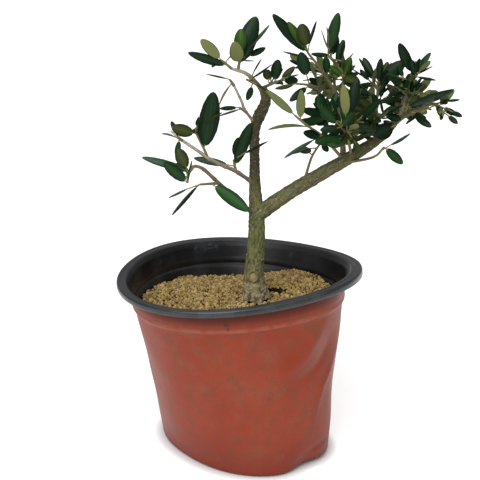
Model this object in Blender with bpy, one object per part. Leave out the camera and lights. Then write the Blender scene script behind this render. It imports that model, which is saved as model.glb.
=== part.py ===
"""Olive bonsai in a soft nursery pot, as separate named solids.

Lengths below are in millimetres and are scaled to metres when a solid becomes an object. +Z is up, the
origin is the centre of the pot's flat underside, and the plant is seen from -Y. A direction is a heading,
counted in degrees from +X towards +Y, and a rise above the level.
"""

import math
import random

import bmesh
import bpy
from mathutils import Matrix, Vector, noise
from mathutils.bvhtree import BVHTree

MM = 0.001
CLEAR = 0.3  # gap kept between pieces that rest on or meet each other

# Pot: a thin thermoformed pot that has gone out of round
POT_HEIGHT = 106.5
RIM_RADIUS = 75.0
RIM_WIDTH = 6.5
RIM_THICK = 1.2
LIP_DROP = 3.8
WALL = 1.2
WALL_TOP_RADIUS = RIM_RADIUS - RIM_WIDTH - WALL / 2
FOOT_RADIUS = 51.2
FOOT_CURVE = 3.0
FLOOR = 1.6
WALL_HEIGHTS = (15.0, 30.0, 48.0, 66.0, 78.0, 88.6)  # rings up the wall, the last at the soil's edge
STEP_HEIGHT = 91.0  # the stacking step, a shallow ridge that runs round the wall
STEP_TALL = 1.5
STEP_OUT = 0.9
POT_SIDES = 48

RIM_CENTRE, FOOT_CENTRE = (-1.6, 4.6), (1.6, -5.8)  # the pot leans back from its foot
RIM_OVAL, RIM_OVAL_AT = 0.035, 67.0  # share by which the rim is out of round, and the heading it is widest at
RIM_CORNERS, CORNERS_AT = 0.03, -20.7  # its three blunt corners, and the heading of one
FOOT_OVAL, FOOT_OVAL_AT = 0.136, -52.6
RIM_TILT, RIM_TILT_AT = 2.0, -17.0  # how much higher the rim is at this heading than at its middle
RIM_WAVE, RIM_WAVE_AT = 2.4, -30.0  # height of the wave in the rim, and the heading of its crest
LIFT, LIFT_AT, LIFT_SPREAD = 3.0, -43.7, 19.4  # the edge of the foot stands off the floor here
LIFT_FROM = 30.0  # radius from which the foot bends up there
LIFT_TALL = 25.0  # height over which the bend fades
DENTS = (  # heading, height, spread in degrees, spread in height, depth
    (-8.0, 92.4, 28.0, 25.4, 3.0),
    (-17.0, 47.3, 13.4, 21.2, 2.9),
    (-38.0, 70.0, 10.0, 9.0, 1.8),
    (-50.0, 0.0, 11.0, 9.0, 4.0),  # cuts the foot straight there
)
DENT_ENDS = 68.0, 72.0  # radii between which the dents fade, so that the rim keeps its shape

# Soil
SOIL_EDGE = WALL_HEIGHTS[-1]
SOIL_CROWN = 90.5  # under the trunk
SOIL_RINGS = 18
MOUND, MOUND_SPREAD = 3.5, 48.0
SLOPE_X, SLOPE_Y = 0.045, 0.012
GRAIN, GRAIN_SPREAD = 1.6, 4.2  # the granules' unevenness at the surface
PAD_RADIUS = 13.0  # of the flat place under the trunk
PAD_BLEND = 8.0
HEAP, HEAP_AT, HEAP_SPREAD = 5.0, 47.0, 22.0  # the soil lies higher against the wall at this heading
DIP, DIP_AT, DIP_SPREAD = 3.8, 112.0, 45.0  # and lower at this one
EDGE_FADE = 3  # power by which the surface comes to the height of its edge

# Trunk, from its flat cut on the soil to its fork
TRUNK_FOOT = (8.6, -4.0)
TRUNK_STEPS = (
    (180, 85, 15), (40, 84, 15), (65, 87, 18), (130, 85, 18), (105, 86, 15), (90, 88, 20),
    (5, 75, 9), (-15, 66, 10), (180, 77, 8),
)
TRUNK_RADII = (8.4, 5.9, 5.2, 4.8, 3.6, 2.9, 2.9, 3.5, 3.1, 2.3)
TRUNK_SIDES = 12
FLARE_LOBES = 5
FLARE_DEPTH = 0.14
FLARE_SPREAD = 0.05  # share of the trunk's length over which the flare fades
BARK_LUMP = 0.09
LUMPS_UP = 14.0
SCAR_AT = 0.117  # share of the way up to the pruning scar
SCAR_RADIUS = 2.8
SCAR_OUT = 0.7
SCAR_HEADING, SCAR_RISE = -96, 6

# Boughs: the limb each grows from, how far up it, the headings, rises and lengths of its run, and its
# radii from root to tip
BOUGHS = {
    "bough_right": dict(
        on="trunk", at=0.40, radii=(4.7, 4.2, 4.0, 3.5, 2.8, 2.2, 1.3), sides=10,
        run=((-4, 36, 22), (-2, 32, 21), (-8, 32, 17), (-4, 33, 18), (6, 37, 11), (12, 45, 13), (12, 22, 18)),
    ),
    "bough_left_high": dict(
        on="trunk", at=0.545, radii=(1.3, 0.95), sides=7,
        run=((-164, 36, 14), (-168, 26, 10), (-164, 30, 9), (-174, 36, 9), (180, 34, 9)),
    ),
    "bough_left_low": dict(
        on="trunk", at=0.395, radii=(1.4, 0.95), sides=7,
        run=((-144, 40, 18), (-156, 44, 17), (-162, 44, 12), (-166, 24, 6)),
    ),
    "bough_leader_left": dict(
        on="trunk", at=0.82, radii=(0.95, 0.75), sides=6,
        run=((-148, 50, 12), (-138, 64, 6), (-164, 64, 10)),
    ),
    "bough_top_left": dict(
        on="trunk", at=0.975, radii=(1.5, 0.9), sides=6,
        run=((-160, 50, 9), (-160, 40, 8), (-172, 18, 8)),
    ),
    "bough_inner": dict(
        on="bough_right", at=0.5, radii=(2.0, 1.0), sides=7,
        run=((86, 48, 12), (122, 72, 15), (-140, 80, 16)),
    ),
    "cut_stub": dict(
        on="bough_right", at=0.84, radii=(1.5, 1.35), sides=7,
        run=((20, 74, 14), (10, 74, 8), (2, 72, 12)),
    ),
}

# Masses: the limb each grows from and how far up it, the run of its stem, and its shoots. A shoot has
# its place up the stem, heading, rise, length of bare twig, length of its end leaf, and pairs of side leaves.
MASSES = {
    "leaves_left_outer": dict(
        on="bough_left_high", at=1.0, seed=3, run=((-130, 30, 5),),
        shoots=(
            (0.6, -150, 25, 2, 10, 0), (0.6, -100, -40, 2, 11, 0), (0.6, 110, 40, 2, 13, 0),
        ),
    ),
    "leaves_left_upper": dict(
        on="bough_left_high", at=0.66, seed=5, run=((-175, 70, 5), (155, 60, 13),),
        shoots=(
            (0.3, -49, 74, 2, 32, 0), (1.0, -30, 35, 8, 14, 0), (0.85, -165, 15, 2, 13, 0),
            (0.55, 90, 55, 2, 14, 0),
        ),
    ),
    "leaves_left_inner": dict(
        on="bough_left_high", at=0.28, seed=8, run=((105, 45, 8),),
        shoots=(
            (0.45, -11, 71, 2, 26, 0), (1.0, -53, 29, 14, 20, 0), (0.45, 177, 11, 5, 20, 0),
            (0.8, 80, 45, 5, 15, 0),
        ),
    ),
    "leaves_left_low": dict(
        on="bough_left_low", at=1.0, seed=4, run=((-150, -50, 6), (-110, -75, 5),),
        shoots=(
            (0.35, -172, 18, 2, 27, 0), (0.45, -140, 60, 4, 13, 0), (1.0, -160, 45, 2, 17, 0),
            (1.0, -30, 75, 2, 12, 0), (0.7, 120, -5, 5, 13, 0),
        ),
    ),
    "leaves_left_front": dict(
        on="bough_left_low", at=0.65, seed=6, run=((-140, 5, 14),),
        shoots=(
            (0.4, -14, -32, 3, 24, 0), (1.0, -173, -39, 2, 22, 0), (1.0, -160, -15, 8, 12, 0),
        ),
    ),
    "leaves_leader_left": dict(
        on="bough_leader_left", at=1.0, seed=7, run=((-140, 50, 5),),
        shoots=(
            (1.0, -155, 20, 2, 13, 0), (0.5, -170, -55, 2, 13, 0),
        ),
    ),
    "leaves_leader_low": dict(
        on="bough_leader_left", at=0.35, seed=31, run=((-150, 35, 6),),
        shoots=(
            (1.0, -165, 0, 2, 10, 0), (0.7, -155, -5, 2, 13, 0),
        ),
    ),
    "leaves_top_left": dict(
        on="bough_top_left", at=1.0, seed=9, run=((-160, 40, 8),),
        shoots=(
            (1.0, -170, 45, 2, 15, 0), (0.4, -165, 15, 2, 22, 0), (1.0, 120, -15, 3, 13, 0),
            (0.6, 85, 15, 3, 12, 0),
        ),
    ),
    "leaves_top": dict(
        on="bough_top_left", at=0.85, seed=10, run=((35, 80, 7),),
        shoots=(
            (0.45, 4, 72, 2, 27, 0), (1.0, 21, 48, 5, 21, 0), (1.0, -90, 65, 4, 14, 0),
            (0.45, -100, 50, 3, 15, 0), (0.9, 60, 25, 6, 14, 0),
        ),
    ),
    "leaves_top_low": dict(
        on="bough_top_left", at=0.25, seed=12, run=((-145, 25, 9),),
        shoots=(
            (1.0, -165, 10, 2, 13, 0), (0.45, -105, -35, 4, 10, 0), (0.8, -30, 35, 3, 15, 0),
            (0.7, -30, 65, 6, 9, 0),
        ),
    ),
    "leaves_centre": dict(
        on="trunk", at=1.0, seed=13, run=((15, 20, 11),),
        shoots=(
            (0.7, -55, 80, 2, 12, 0), (1.0, -5, 45, 2, 10, 0), (0.4, -105, 45, 5, 8, 0),
            (1.0, 45, -5, 4, 15, 0),
        ),
    ),
    "leaves_centre_front": dict(
        on="bough_inner", at=0.97, seed=14, run=((-150, 20, 18), (-155, 10, 10),),
        shoots=(
            (1.0, -170, -10, 2, 11, 0), (0.7, -130, 65, 7, 14, 0), (0.7, -140, -25, 3, 13, 0),
            (0.5, -90, -25, 7, 13, 1),
        ),
    ),
    "leaves_fork_twig": dict(
        on="bough_right", at=0.51, seed=32, run=((-150, 45, 22), (-155, 35, 13), (-165, 40, 9),),
        shoots=(
            (1.0, -165, 42, 2, 20, 0), (0.9, -95, 75, 2, 16, 0), (0.75, -169, 6, 2, 22, 0),
            (0.5, -135, 15, 2, 13, 0), (0.5, -152, -14, 7, 20, 0),
        ),
    ),
    "leaves_fork": dict(
        on="bough_right", at=0.28, seed=15, run=((-10, 75, 16), (-20, 60, 10),),
        shoots=(
            (0.9, -180, -5, 3, 14, 0), (1.0, -50, 35, 2, 14, 1), (0.7, 115, 10, 4, 15, 0),
        ),
    ),
    "leaves_crown_left": dict(
        on="bough_inner", at=1.0, seed=16, run=((-165, 55, 18), (-165, 50, 11),),
        shoots=(
            (1.0, -175, 46, 2, 28, 0), (1.0, -145, 54, 3, 20, 0), (1.0, 55, 75, 5, 14, 0),
            (0.8, 170, 20, 4, 15, 0), (0.5, -100, -20, 5, 10, 0), (1.0, -110, 50, 6, 16, 0),
            (0.5, 110, 0, 4, 15, 1), (0.3, -100, 50, 6, 14, 0),
        ),
    ),
    "leaves_crown_top": dict(
        on="bough_inner", at=0.8, seed=17, run=((-70, 65, 19), (155, 60, 8), (160, 45, 8),),
        shoots=(
            (1.0, -18, 78, 4, 21, 0), (1.0, -95, 65, 6, 13, 0), (0.8, 0, 75, 2, 13, 0),
            (0.6, -65, -10, 2, 15, 0), (0.4, -70, 20, 4, 12, 0), (0.75, 70, 75, 5, 11, 0),
            (0.9, 115, 50, 4, 15, 1), (0.55, -70, 55, 4, 11, 0),
        ),
    ),
    "leaves_right_top": dict(
        on="bough_right", at=0.7, seed=18, run=((105, 80, 17), (-65, 90, 15),),
        shoots=(
            (0.35, -65, 30, 2, 15, 2), (0.5, -130, -5, 2, 15, 2), (1.0, -150, 50, 6, 14, 0),
            (1.0, -60, 80, 2, 13, 0), (1.0, -10, 40, 3, 17, 0), (0.9, 30, 50, 6, 13, 0),
            (0.7, -145, 40, 5, 14, 0), (0.65, -40, 20, 3, 14, 0), (0.85, 65, 45, 10, 13, 1),
        ),
    ),
    "leaves_right_high": dict(
        on="bough_right", at=0.87, seed=19, run=((-5, 75, 14), (-45, 80, 10),),
        shoots=(
            (1.0, -164, 60, 3, 18, 0), (1.0, -15, 55, 2, 14, 0), (1.0, -40, 30, 2, 11, 0),
            (0.4, -130, 40, 3, 14, 2), (0.2, -22, 19, 2, 27, 0), (0.45, 40, 40, 5, 8, 0),
            (1.0, -110, 0, 2, 12, 0),
        ),
    ),
    "leaves_right_tip": dict(
        on="bough_right", at=1.0, seed=20, run=((5, 5, 6),),
        shoots=(
            (1.0, -30, 45, 2, 11, 0), (0.45, -70, 25, 5, 9, 0), (1.0, -135, -10, 18, 14, 0),
            (0.8, -75, -30, 2, 9, 0),
        ),
    ),
    "leaves_right_low": dict(
        on="bough_right", at=0.86, seed=21, run=((-120, -20, 10),),
        shoots=(
            (1.0, -140, -15, 3, 14, 0), (0.7, -125, 40, 2, 13, 0), (0.8, -20, 25, 2, 15, 0),
            (0.5, -145, 0, 7, 14, 1), (0.9, -70, 40, 5, 13, 0),
        ),
    ),
    "leaves_hanging": dict(
        on="bough_right", at=0.48, seed=22, run=((-25, 15, 21), (-15, 45, 9),),
        shoots=(
            (1.0, -5, -40, 2, 13, 0), (0.9, -15, 35, 7, 13, 0),
        ),
    ),
    "leaves_heart_front": dict(
        on="bough_right", at=0.55, seed=23, run=((-105, 45, 17), (-105, 50, 13),),
        shoots=(
            (1.0, -120, 80, 6, 17, 0), (1.0, 18, 76, 6, 20, 0), (0.6, -148, 3, 2, 20, 0),
            (0.4, -135, 10, 7, 13, 0), (0.8, -40, 45, 5, 17, 2), (0.7, -135, 40, 7, 17, 2),
            (0.5, -55, 25, 3, 15, 0), (0.9, 140, 60, 3, 17, 0),
        ),
    ),
    "leaves_heart_left": dict(
        on="bough_inner", at=0.55, seed=33, run=((-125, 25, 15),),
        shoots=(
            (1.0, -155, 20, 2, 15, 0), (0.8, -155, 70, 2, 16, 1), (1.0, -155, -10, 2, 14, 0),
            (0.6, 89, 39, 7, 18, 1), (0.8, -60, 40, 2, 16, 0),
        ),
    ),
    "leaves_heart_back": dict(
        on="bough_right", at=0.56, seed=24, run=((80, 25, 29), (90, 30, 12),),
        shoots=(
            (1.0, 100, 60, 3, 17, 2), (0.8, 130, 20, 8, 18, 1), (0.9, 40, 25, 6, 18, 2),
            (0.5, 55, 5, 10, 17, 1), (0.5, 115, 0, 6, 17, 1),
        ),
    ),
    "leaves_right_back": dict(
        on="bough_right", at=0.87, seed=25, run=((75, 5, 20), (75, 15, 9),),
        shoots=(
            (1.0, 20, 15, 3, 17, 2), (0.8, 105, 40, 4, 17, 1), (0.9, 60, -30, 6, 16, 1),
            (0.6, 115, -15, 10, 16, 1),
        ),
    ),
    "leaves_crown_back": dict(
        on="bough_inner", at=0.9, seed=26, run=((90, 25, 16), (105, 15, 9),),
        shoots=(
            (1.0, 145, 25, 2, 18, 2), (0.8, 60, 30, 4, 18, 2), (0.6, 135, -15, 6, 17, 1),
        ),
    ),
}
STEM_RADIUS = 1.0
TWIG_RADIUS = 0.65
LEAF_WIDTH = 0.38  # share of its length
LEAF_THICK = 0.028
LEAF_CURL = 0.10
LEAF_STATIONS = (0.15, 0.5, 0.85)
LIGHT_RISE = 35.0  # leaves turn their upper sides towards the light, at the front or at the back
BACK_FROM = 14.0
LEAF_TURN = 0.75  # how far a leaf may turn from it
PAIR_SPLAY, SPLAY_VARIES = 48.0, 12.0  # angle between a side leaf and its shoot
PAIR_SPACE = 6.0
PAIR_TURN, TURN_VARIES = 90.0, 15.0
FIRST_PAIR, PAIR_ROOM = 0.55, 0.3  # the first pair's place, in pairs, and the room left over at the tip
SIDE_LEAF, SIDE_LEAST, SIDE_MOST = 0.86, 0.8, 1.1  # a side leaf's length, as a share of the end leaf's
WIDTH_LEAST, WIDTH_MOST = 0.85, 1.15
ROOT_SUNK = 0.15
TWIG_SUNK = 0.6  # how far a twig runs on into its end leaf
STALK_RADIUS = 0.45


def direction(heading, rise):
    heading, rise = math.radians(heading), math.radians(rise)
    return Vector((math.cos(rise) * math.cos(heading), math.cos(rise) * math.sin(heading), math.sin(rise)))


def walk(start, run):
    """The points reached from start by each heading, rise and length of a run."""
    points = [Vector(start)]
    for heading, rise, length in run:
        points.append(points[-1] + length * direction(heading, rise))
    return points


def flow(points, steps=3):
    """Points on a smooth curve through the given ones."""
    ends = [2 * points[0] - points[1], *points, 2 * points[-1] - points[-2]]
    curve = []
    for before, a, b, after in zip(ends, ends[1:], ends[2:], ends[3:]):
        for i in range(steps):
            t = i / steps
            curve.append(
                0.5 * (2 * a + (b - before) * t + (2 * before - 5 * a + 4 * b - after) * t**2
                       + (3 * a - before - 3 * b + after) * t**3)
            )
    return [*curve, points[-1].copy()]


def along(values, share):
    """The value or point at a share of the way along a list of them."""
    place = min(max(share, 0.0), 1.0) * (len(values) - 1)
    i = min(int(place), len(values) - 2)
    return values[i] + (values[i + 1] - values[i]) * (place - i)


def point_on(path, share):
    """The point at a share of a path's length."""
    lengths = [(b - a).length for a, b in zip(path, path[1:])]
    left = share * sum(lengths)
    for a, b, length in zip(path, path[1:], lengths):
        if left <= length:
            return a.lerp(b, left / length)
        left -= length
    return path[-1].copy()


def lofted(rings, start=None, end=None):
    """Vertices and faces through rings of equal count, closed by a point or by a flat face at each end."""
    count = len(rings[0])
    points = [p for ring in rings for p in ring]
    faces = []
    for r in range(len(rings) - 1):
        for i in range(count):
            j = (i + 1) % count
            a, b = r * count, (r + 1) * count
            faces.append((a + i, a + j, b + j, b + i))
    last = (len(rings) - 1) * count
    if start is None:
        faces.append(tuple(range(count))[::-1])
    else:
        points.append(start)
        faces += [(len(points) - 1, (i + 1) % count, i) for i in range(count)]
    if end is None:
        faces.append(tuple(last + i for i in range(count)))
    else:
        points.append(end)
        faces += [(len(points) - 1, last + i, last + (i + 1) % count) for i in range(count)]
    return points, faces


def tube(path, radii, sides, shape=None):
    """A limb along a path. shape(share, angle) may vary its radius."""
    rings = []
    across = (path[1] - path[0]).orthogonal().normalized()
    for i, point in enumerate(path):
        tangent = (path[min(i + 1, len(path) - 1)] - path[max(i - 1, 0)]).normalized()
        across = (across - tangent * across.dot(tangent)).normalized()
        other = tangent.cross(across)
        share = i / (len(path) - 1)
        ring = []
        for k in range(sides):
            turn = 2 * math.pi * k / sides
            radius = along(radii, share) * (shape(share, turn) if shape else 1.0)
            ring.append(point + radius * (math.cos(turn) * across + math.sin(turn) * other))
        rings.append(ring)
    return lofted(rings)


def leaf(root, heading, face, length, width, curl, stalk=0.0):
    """A thin blade on its stalk, with its flat upper side towards face and a keel below."""
    heading = heading.normalized()
    side = heading.cross(face).normalized()
    face = side.cross(heading)
    foot = root + heading * stalk
    rings = []
    if stalk:
        turns = (-side, -face, side)
        rings = [[place + turn * STALK_RADIUS for turn in turns] for place in (root, foot)]
    for t in LEAF_STATIONS:
        middle = foot + heading * length * t - face * curl * length * t**2
        half = 0.5 * width * math.sin(math.pi * t) ** 0.7
        rings.append([middle - side * half, middle - face * LEAF_THICK * length, middle + side * half])
    start = None if stalk else root - heading * ROOT_SUNK
    return lofted(rings, start, foot + heading * length - face * curl * length)


def touches(solid, trees):
    tree = BVHTree.FromPolygons(*solid)
    return any(tree.overlap(other) for other in trees)


def material(name, colour, roughness):
    made = bpy.data.materials.new(name)
    made.use_nodes = True
    shader = made.node_tree.nodes["Principled BSDF"]
    shader.inputs["Base Color"].default_value = (*colour, 1.0)
    shader.inputs["Roughness"].default_value = roughness
    shader.inputs["Metallic"].default_value = 0.0
    return made


def solid_object(name, solid, collection=None):
    mesh = bpy.data.meshes.new(name)
    points, faces = solid
    mesh.from_pydata(points, [], faces)
    shell = bmesh.new()
    shell.from_mesh(mesh)
    bmesh.ops.recalc_face_normals(shell, faces=shell.faces)
    shell.to_mesh(mesh)
    shell.free()
    made = bpy.data.objects.new(name, mesh)
    (collection or bpy.context.scene.collection).objects.link(made)
    return made


def combine(target, solids, operation, solver="EXACT"):
    """One Boolean between an object and a collection of solids, applied, with the collection then removed."""
    group = bpy.data.collections.new("group")
    bpy.context.scene.collection.children.link(group)
    for i, solid in enumerate(solids):
        solid_object(f"part_{i}", solid, group)
    boolean = target.modifiers.new("join", "BOOLEAN")
    boolean.operation = operation
    boolean.operand_type = "COLLECTION"
    boolean.collection = group
    boolean.solver = solver
    bpy.context.view_layer.objects.active = target
    bpy.ops.object.modifier_apply(modifier=boolean.name)
    for other in list(group.objects):
        bpy.data.objects.remove(other)
    bpy.data.collections.remove(group)


def keep_main_body(target):
    """Drops what a Boolean leaves loose or sealed inside."""
    shell = bmesh.new()
    shell.from_mesh(target.data)
    left, bodies = set(shell.verts), []
    while left:
        body, edge = set(), [left.pop()]
        while edge:
            vertex = edge.pop()
            body.add(vertex)
            near = {e.other_vert(vertex) for e in vertex.link_edges} & left
            left -= near
            edge.extend(near)
        bodies.append(body)
    main = max(bodies, key=len)
    bmesh.ops.delete(shell, geom=[v for v in shell.verts if v not in main], context="VERTS")
    shell.to_mesh(target.data)
    shell.free()


def finish(target, finish_material, root, sharp=40.0):
    """Scales a solid to metres, gives it its material and parents it."""
    target.data.transform(Matrix.Scale(MM, 4))
    target.data.materials.append(finish_material)
    target.data.shade_smooth()
    target.data.set_sharp_from_angle(angle=math.radians(sharp))
    target.parent = root
    return target


def pot_place(turn, radius, height):
    """Where a point of the round, level pot lies on the one that has gone out of shape."""
    up = height / POT_HEIGHT
    degrees = math.degrees(turn)
    oval = up * RIM_OVAL * math.cos(math.radians(2 * (degrees - RIM_OVAL_AT)))
    oval += up * RIM_CORNERS * math.cos(math.radians(3 * (degrees - CORNERS_AT)))
    oval += (1 - up) * FOOT_OVAL * math.cos(math.radians(2 * (degrees - FOOT_OVAL_AT)))
    out = radius * (1 + oval)
    rise = up**2 * RIM_TILT * math.cos(math.radians(degrees - RIM_TILT_AT))
    rise += up**2 * RIM_WAVE * math.cos(math.radians(2 * (degrees - RIM_WAVE_AT)))
    least, most = DENT_ENDS
    dented = min(1.0, max(0.0, (most - radius) / (most - least)))
    for heading, middle, spread, tall, depth in DENTS:
        away = (degrees - heading + 180) % 360 - 180
        out -= dented * depth * math.exp(-((away / spread) ** 2) - ((height - middle) / tall) ** 2)
    away = (degrees - LIFT_AT + 180) % 360 - 180
    edge = max(0.0, (radius - LIFT_FROM) / (FOOT_RADIUS - LIFT_FROM))
    low = max(0.0, 1 - height / LIFT_TALL)
    rise += LIFT * low * edge**2 * math.exp(-((away / LIFT_SPREAD) ** 2))
    centre = Vector(FOOT_CENTRE).lerp(Vector(RIM_CENTRE), up)
    return Vector((centre.x + out * math.cos(turn), centre.y + out * math.sin(turn), height + rise))


def wall_radius(height):
    """The middle of the wall at a height."""
    share = (height - FOOT_CURVE) / (POT_HEIGHT - RIM_THICK - FOOT_CURVE)
    return FOOT_RADIUS - WALL / 2 + share * (WALL_TOP_RADIUS - FOOT_RADIUS + WALL / 2)


def pot_rings(profile):
    turns = [2 * math.pi * k / POT_SIDES for k in range(POT_SIDES)]
    return [[pot_place(turn, radius, height) for turn in turns] for radius, height in profile]


def inner_profile():
    """The pot's inside, from the floor up to the rim."""
    curve = FOOT_CURVE - WALL
    low = [
        (FOOT_RADIUS - FOOT_CURVE + curve * math.sin(a), FOOT_CURVE - curve * math.cos(a))
        for a in (math.radians(15 + 25 * i) for i in range(4))
    ]
    wall = [(wall_radius(z) - WALL / 2, z) for z in (*WALL_HEIGHTS, STEP_HEIGHT - STEP_TALL)]
    step = [
        (wall_radius(STEP_HEIGHT) - WALL / 2 + STEP_OUT, STEP_HEIGHT),
    ]
    return [*low, *wall, *step, (RIM_RADIUS - RIM_WIDTH, POT_HEIGHT)]


def make_pot():
    inner = inner_profile()
    curve = FOOT_CURVE
    outer = [
        (FOOT_RADIUS - curve + curve * math.sin(a), curve - curve * math.cos(a))
        for a in (math.radians(30 * i) for i in range(4))
    ]
    outer += [(wall_radius(z) + WALL / 2, z) for z in (*WALL_HEIGHTS, STEP_HEIGHT - STEP_TALL)]
    outer += [
        (wall_radius(STEP_HEIGHT) + WALL / 2 + STEP_OUT, STEP_HEIGHT),
        (RIM_RADIUS - RIM_WIDTH + WALL, POT_HEIGHT - RIM_THICK),
        (RIM_RADIUS - WALL, POT_HEIGHT - RIM_THICK),
        (RIM_RADIUS - WALL, POT_HEIGHT - LIP_DROP),
        (RIM_RADIUS, POT_HEIGHT - LIP_DROP),
        (RIM_RADIUS, POT_HEIGHT),
    ]
    floor = [(0.5 * inner[0][0], FLOOR)]
    rings = pot_rings([(0.5 * outer[0][0], 0.0), *outer, *reversed(inner), *floor])
    return solid_object("pot", lofted(rings, pot_place(0, 0, 0), pot_place(0, 0, FLOOR)))


def soil_height(x, y):
    """The heaped surface: higher in the middle and towards the right, and as uneven as its granules."""
    away = math.hypot(x - TRUNK_FOOT[0], y - TRUNK_FOOT[1])
    mound = MOUND * math.exp(-((away / MOUND_SPREAD) ** 2))
    slope = SLOPE_X * x + SLOPE_Y * y
    grain = GRAIN * noise.noise(Vector((x, y, 0)) / GRAIN_SPREAD)
    return SOIL_EDGE + mound + slope + grain


def soil_edge():
    """The ring where the soil meets the wall."""
    ring = []
    for k in range(POT_SIDES):
        turn = 2 * math.pi * k / POT_SIDES
        height = SOIL_EDGE
        for by, heading, spread in ((HEAP, HEAP_AT, HEAP_SPREAD), (-DIP, DIP_AT, DIP_SPREAD)):
            away = (math.degrees(turn) - heading + 180) % 360 - 180
            height += by * math.exp(-((away / spread) ** 2))
        ring.append(pot_place(turn, wall_radius(height) - WALL / 2 - CLEAR, height))
    return ring


def make_soil():
    """A plug that fills the pot up to its heaped surface, with a flat pad under the trunk."""
    pad_height = SOIL_CROWN - CLEAR
    inner = [(radius - CLEAR, height) for radius, height in inner_profile() if height < SOIL_EDGE]
    inner[0] = (inner[0][0], inner[0][1] + CLEAR)
    wall = [soil_edge(), *pot_rings([*reversed(inner), (0.5 * inner[0][0], FLOOR + CLEAR)])]
    top = []
    for k in range(1, SOIL_RINGS + 1):
        share = k / (SOIL_RINGS + 1)
        ring = []
        for point in wall[0]:
            x = TRUNK_FOOT[0] + (point.x - TRUNK_FOOT[0]) * share
            y = TRUNK_FOOT[1] + (point.y - TRUNK_FOOT[1]) * share
            away = math.hypot(x - TRUNK_FOOT[0], y - TRUNK_FOOT[1])
            level = soil_height(x, y) + (point.z - soil_height(x, y)) * share**EDGE_FADE
            off_pad = min(1.0, max(0.0, (away - PAD_RADIUS) / PAD_BLEND))
            ring.append(Vector((x, y, pad_height + (level - pad_height) * off_pad)))
        top.append(ring)
    return solid_object(
        "soil", lofted([*top, *wall], Vector((*TRUNK_FOOT, pad_height)), pot_place(0, 0, FLOOR + CLEAR))
    )


def trunk_shape(share, turn):
    """Root flare and the slow lumps of old bark."""
    foot = math.exp(-share / FLARE_SPREAD)
    flare = 1 + FLARE_DEPTH * foot * math.cos(FLARE_LOBES * turn + 0.6)
    lump = noise.noise(Vector((math.cos(turn), math.sin(turn), LUMPS_UP * share)))
    return flare * (1 + BARK_LUMP * lump)


def limb_paths():
    """Each limb's centre line and radii, the trunk first."""
    foot = (*TRUNK_FOOT, SOIL_CROWN)
    paths = {"trunk": (flow(walk(foot, TRUNK_STEPS), 2), list(TRUNK_RADII))}
    for name, bough in BOUGHS.items():
        start = point_on(paths[bough["on"]][0], bough["at"])
        paths[name] = (flow(walk(start, bough["run"]), 2), list(bough["radii"]))
    return paths


def make_trunk(path, radii):
    solid = tube(path, radii, TRUNK_SIDES, trunk_shape)
    points = [Vector((p.x, p.y, SOIL_CROWN)) if i < TRUNK_SIDES else p for i, p in enumerate(solid[0])]
    made = solid_object("trunk", (points, solid[1]))
    middle = point_on(path, SCAR_AT)
    out = direction(SCAR_HEADING, SCAR_RISE) * (along(radii, SCAR_AT) + SCAR_OUT)
    scar = tube([middle, middle + out], [SCAR_RADIUS, SCAR_RADIUS], 10)
    combine(made, [scar], "UNION")
    return made


def swollen(path, radii, sides=12, shape=None):
    """A limb with the gap that its neighbours keep to it."""
    ahead = (path[-1] - path[-2]).normalized() * CLEAR
    return tube([*path[:-1], path[-1] + ahead], [radius + CLEAR for radius in radii], sides, shape)


def shoot_solids(stem, shoot, dice):
    """One shoot: a leaf on its stalk, or a twig with an end leaf and pairs of side leaves."""
    at, heading, rise, length, leaf_length, pairs = shoot
    root = point_on(stem, at)
    ahead = direction(heading, rise)
    light = direction(-90 if root.y < BACK_FROM else 90, LIGHT_RISE)
    if not pairs:
        face = light + LEAF_TURN * Vector([dice.uniform(-1, 1) for _ in range(3)])
        width = leaf_length * LEAF_WIDTH * dice.uniform(WIDTH_LEAST, WIDTH_MOST)
        return [leaf(root, ahead, face, leaf_length, width, LEAF_CURL * dice.uniform(0, 2), length)]
    reach = max(length, pairs * PAIR_SPACE)
    end = root + ahead * reach
    flat = ahead.cross(light).normalized()
    over = flat.cross(ahead)
    roll = dice.uniform(0, 180)
    places = [(end, ahead, leaf_length)]
    for pair in range(pairs):
        foot = root + ahead * reach * (pair + FIRST_PAIR) / (pairs + PAIR_ROOM)
        turn = math.radians(roll + PAIR_TURN * pair + dice.uniform(-TURN_VARIES, TURN_VARIES))
        out = math.cos(turn) * flat + math.sin(turn) * over
        for sign in (-1, 1):
            splay = math.radians(PAIR_SPLAY + dice.uniform(-SPLAY_VARIES, SPLAY_VARIES))
            turned = math.cos(splay) * ahead + sign * math.sin(splay) * out
            size = leaf_length * SIDE_LEAF * dice.uniform(SIDE_LEAST, SIDE_MOST)
            places.append((foot, turned, size))
    solids = [tube([root, end + ahead * TWIG_SUNK], [TWIG_RADIUS, 0.5 * TWIG_RADIUS], 3)]
    for foot, turned, size in places:
        face = light + LEAF_TURN * Vector([dice.uniform(-1, 1) for _ in range(3)])
        width = size * LEAF_WIDTH * dice.uniform(WIDTH_LEAST, WIDTH_MOST)
        solids.append(leaf(foot, turned, face, size, width, LEAF_CURL * dice.uniform(0, 2)))
    return solids


def stem_path(mass, paths):
    return flow(walk(point_on(paths[mass["on"]][0], mass["at"]), mass["run"]), 2)


def stem_solid(stem, by=0.0):
    return tube(stem, [STEM_RADIUS + by, TWIG_RADIUS + by], 4)


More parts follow.
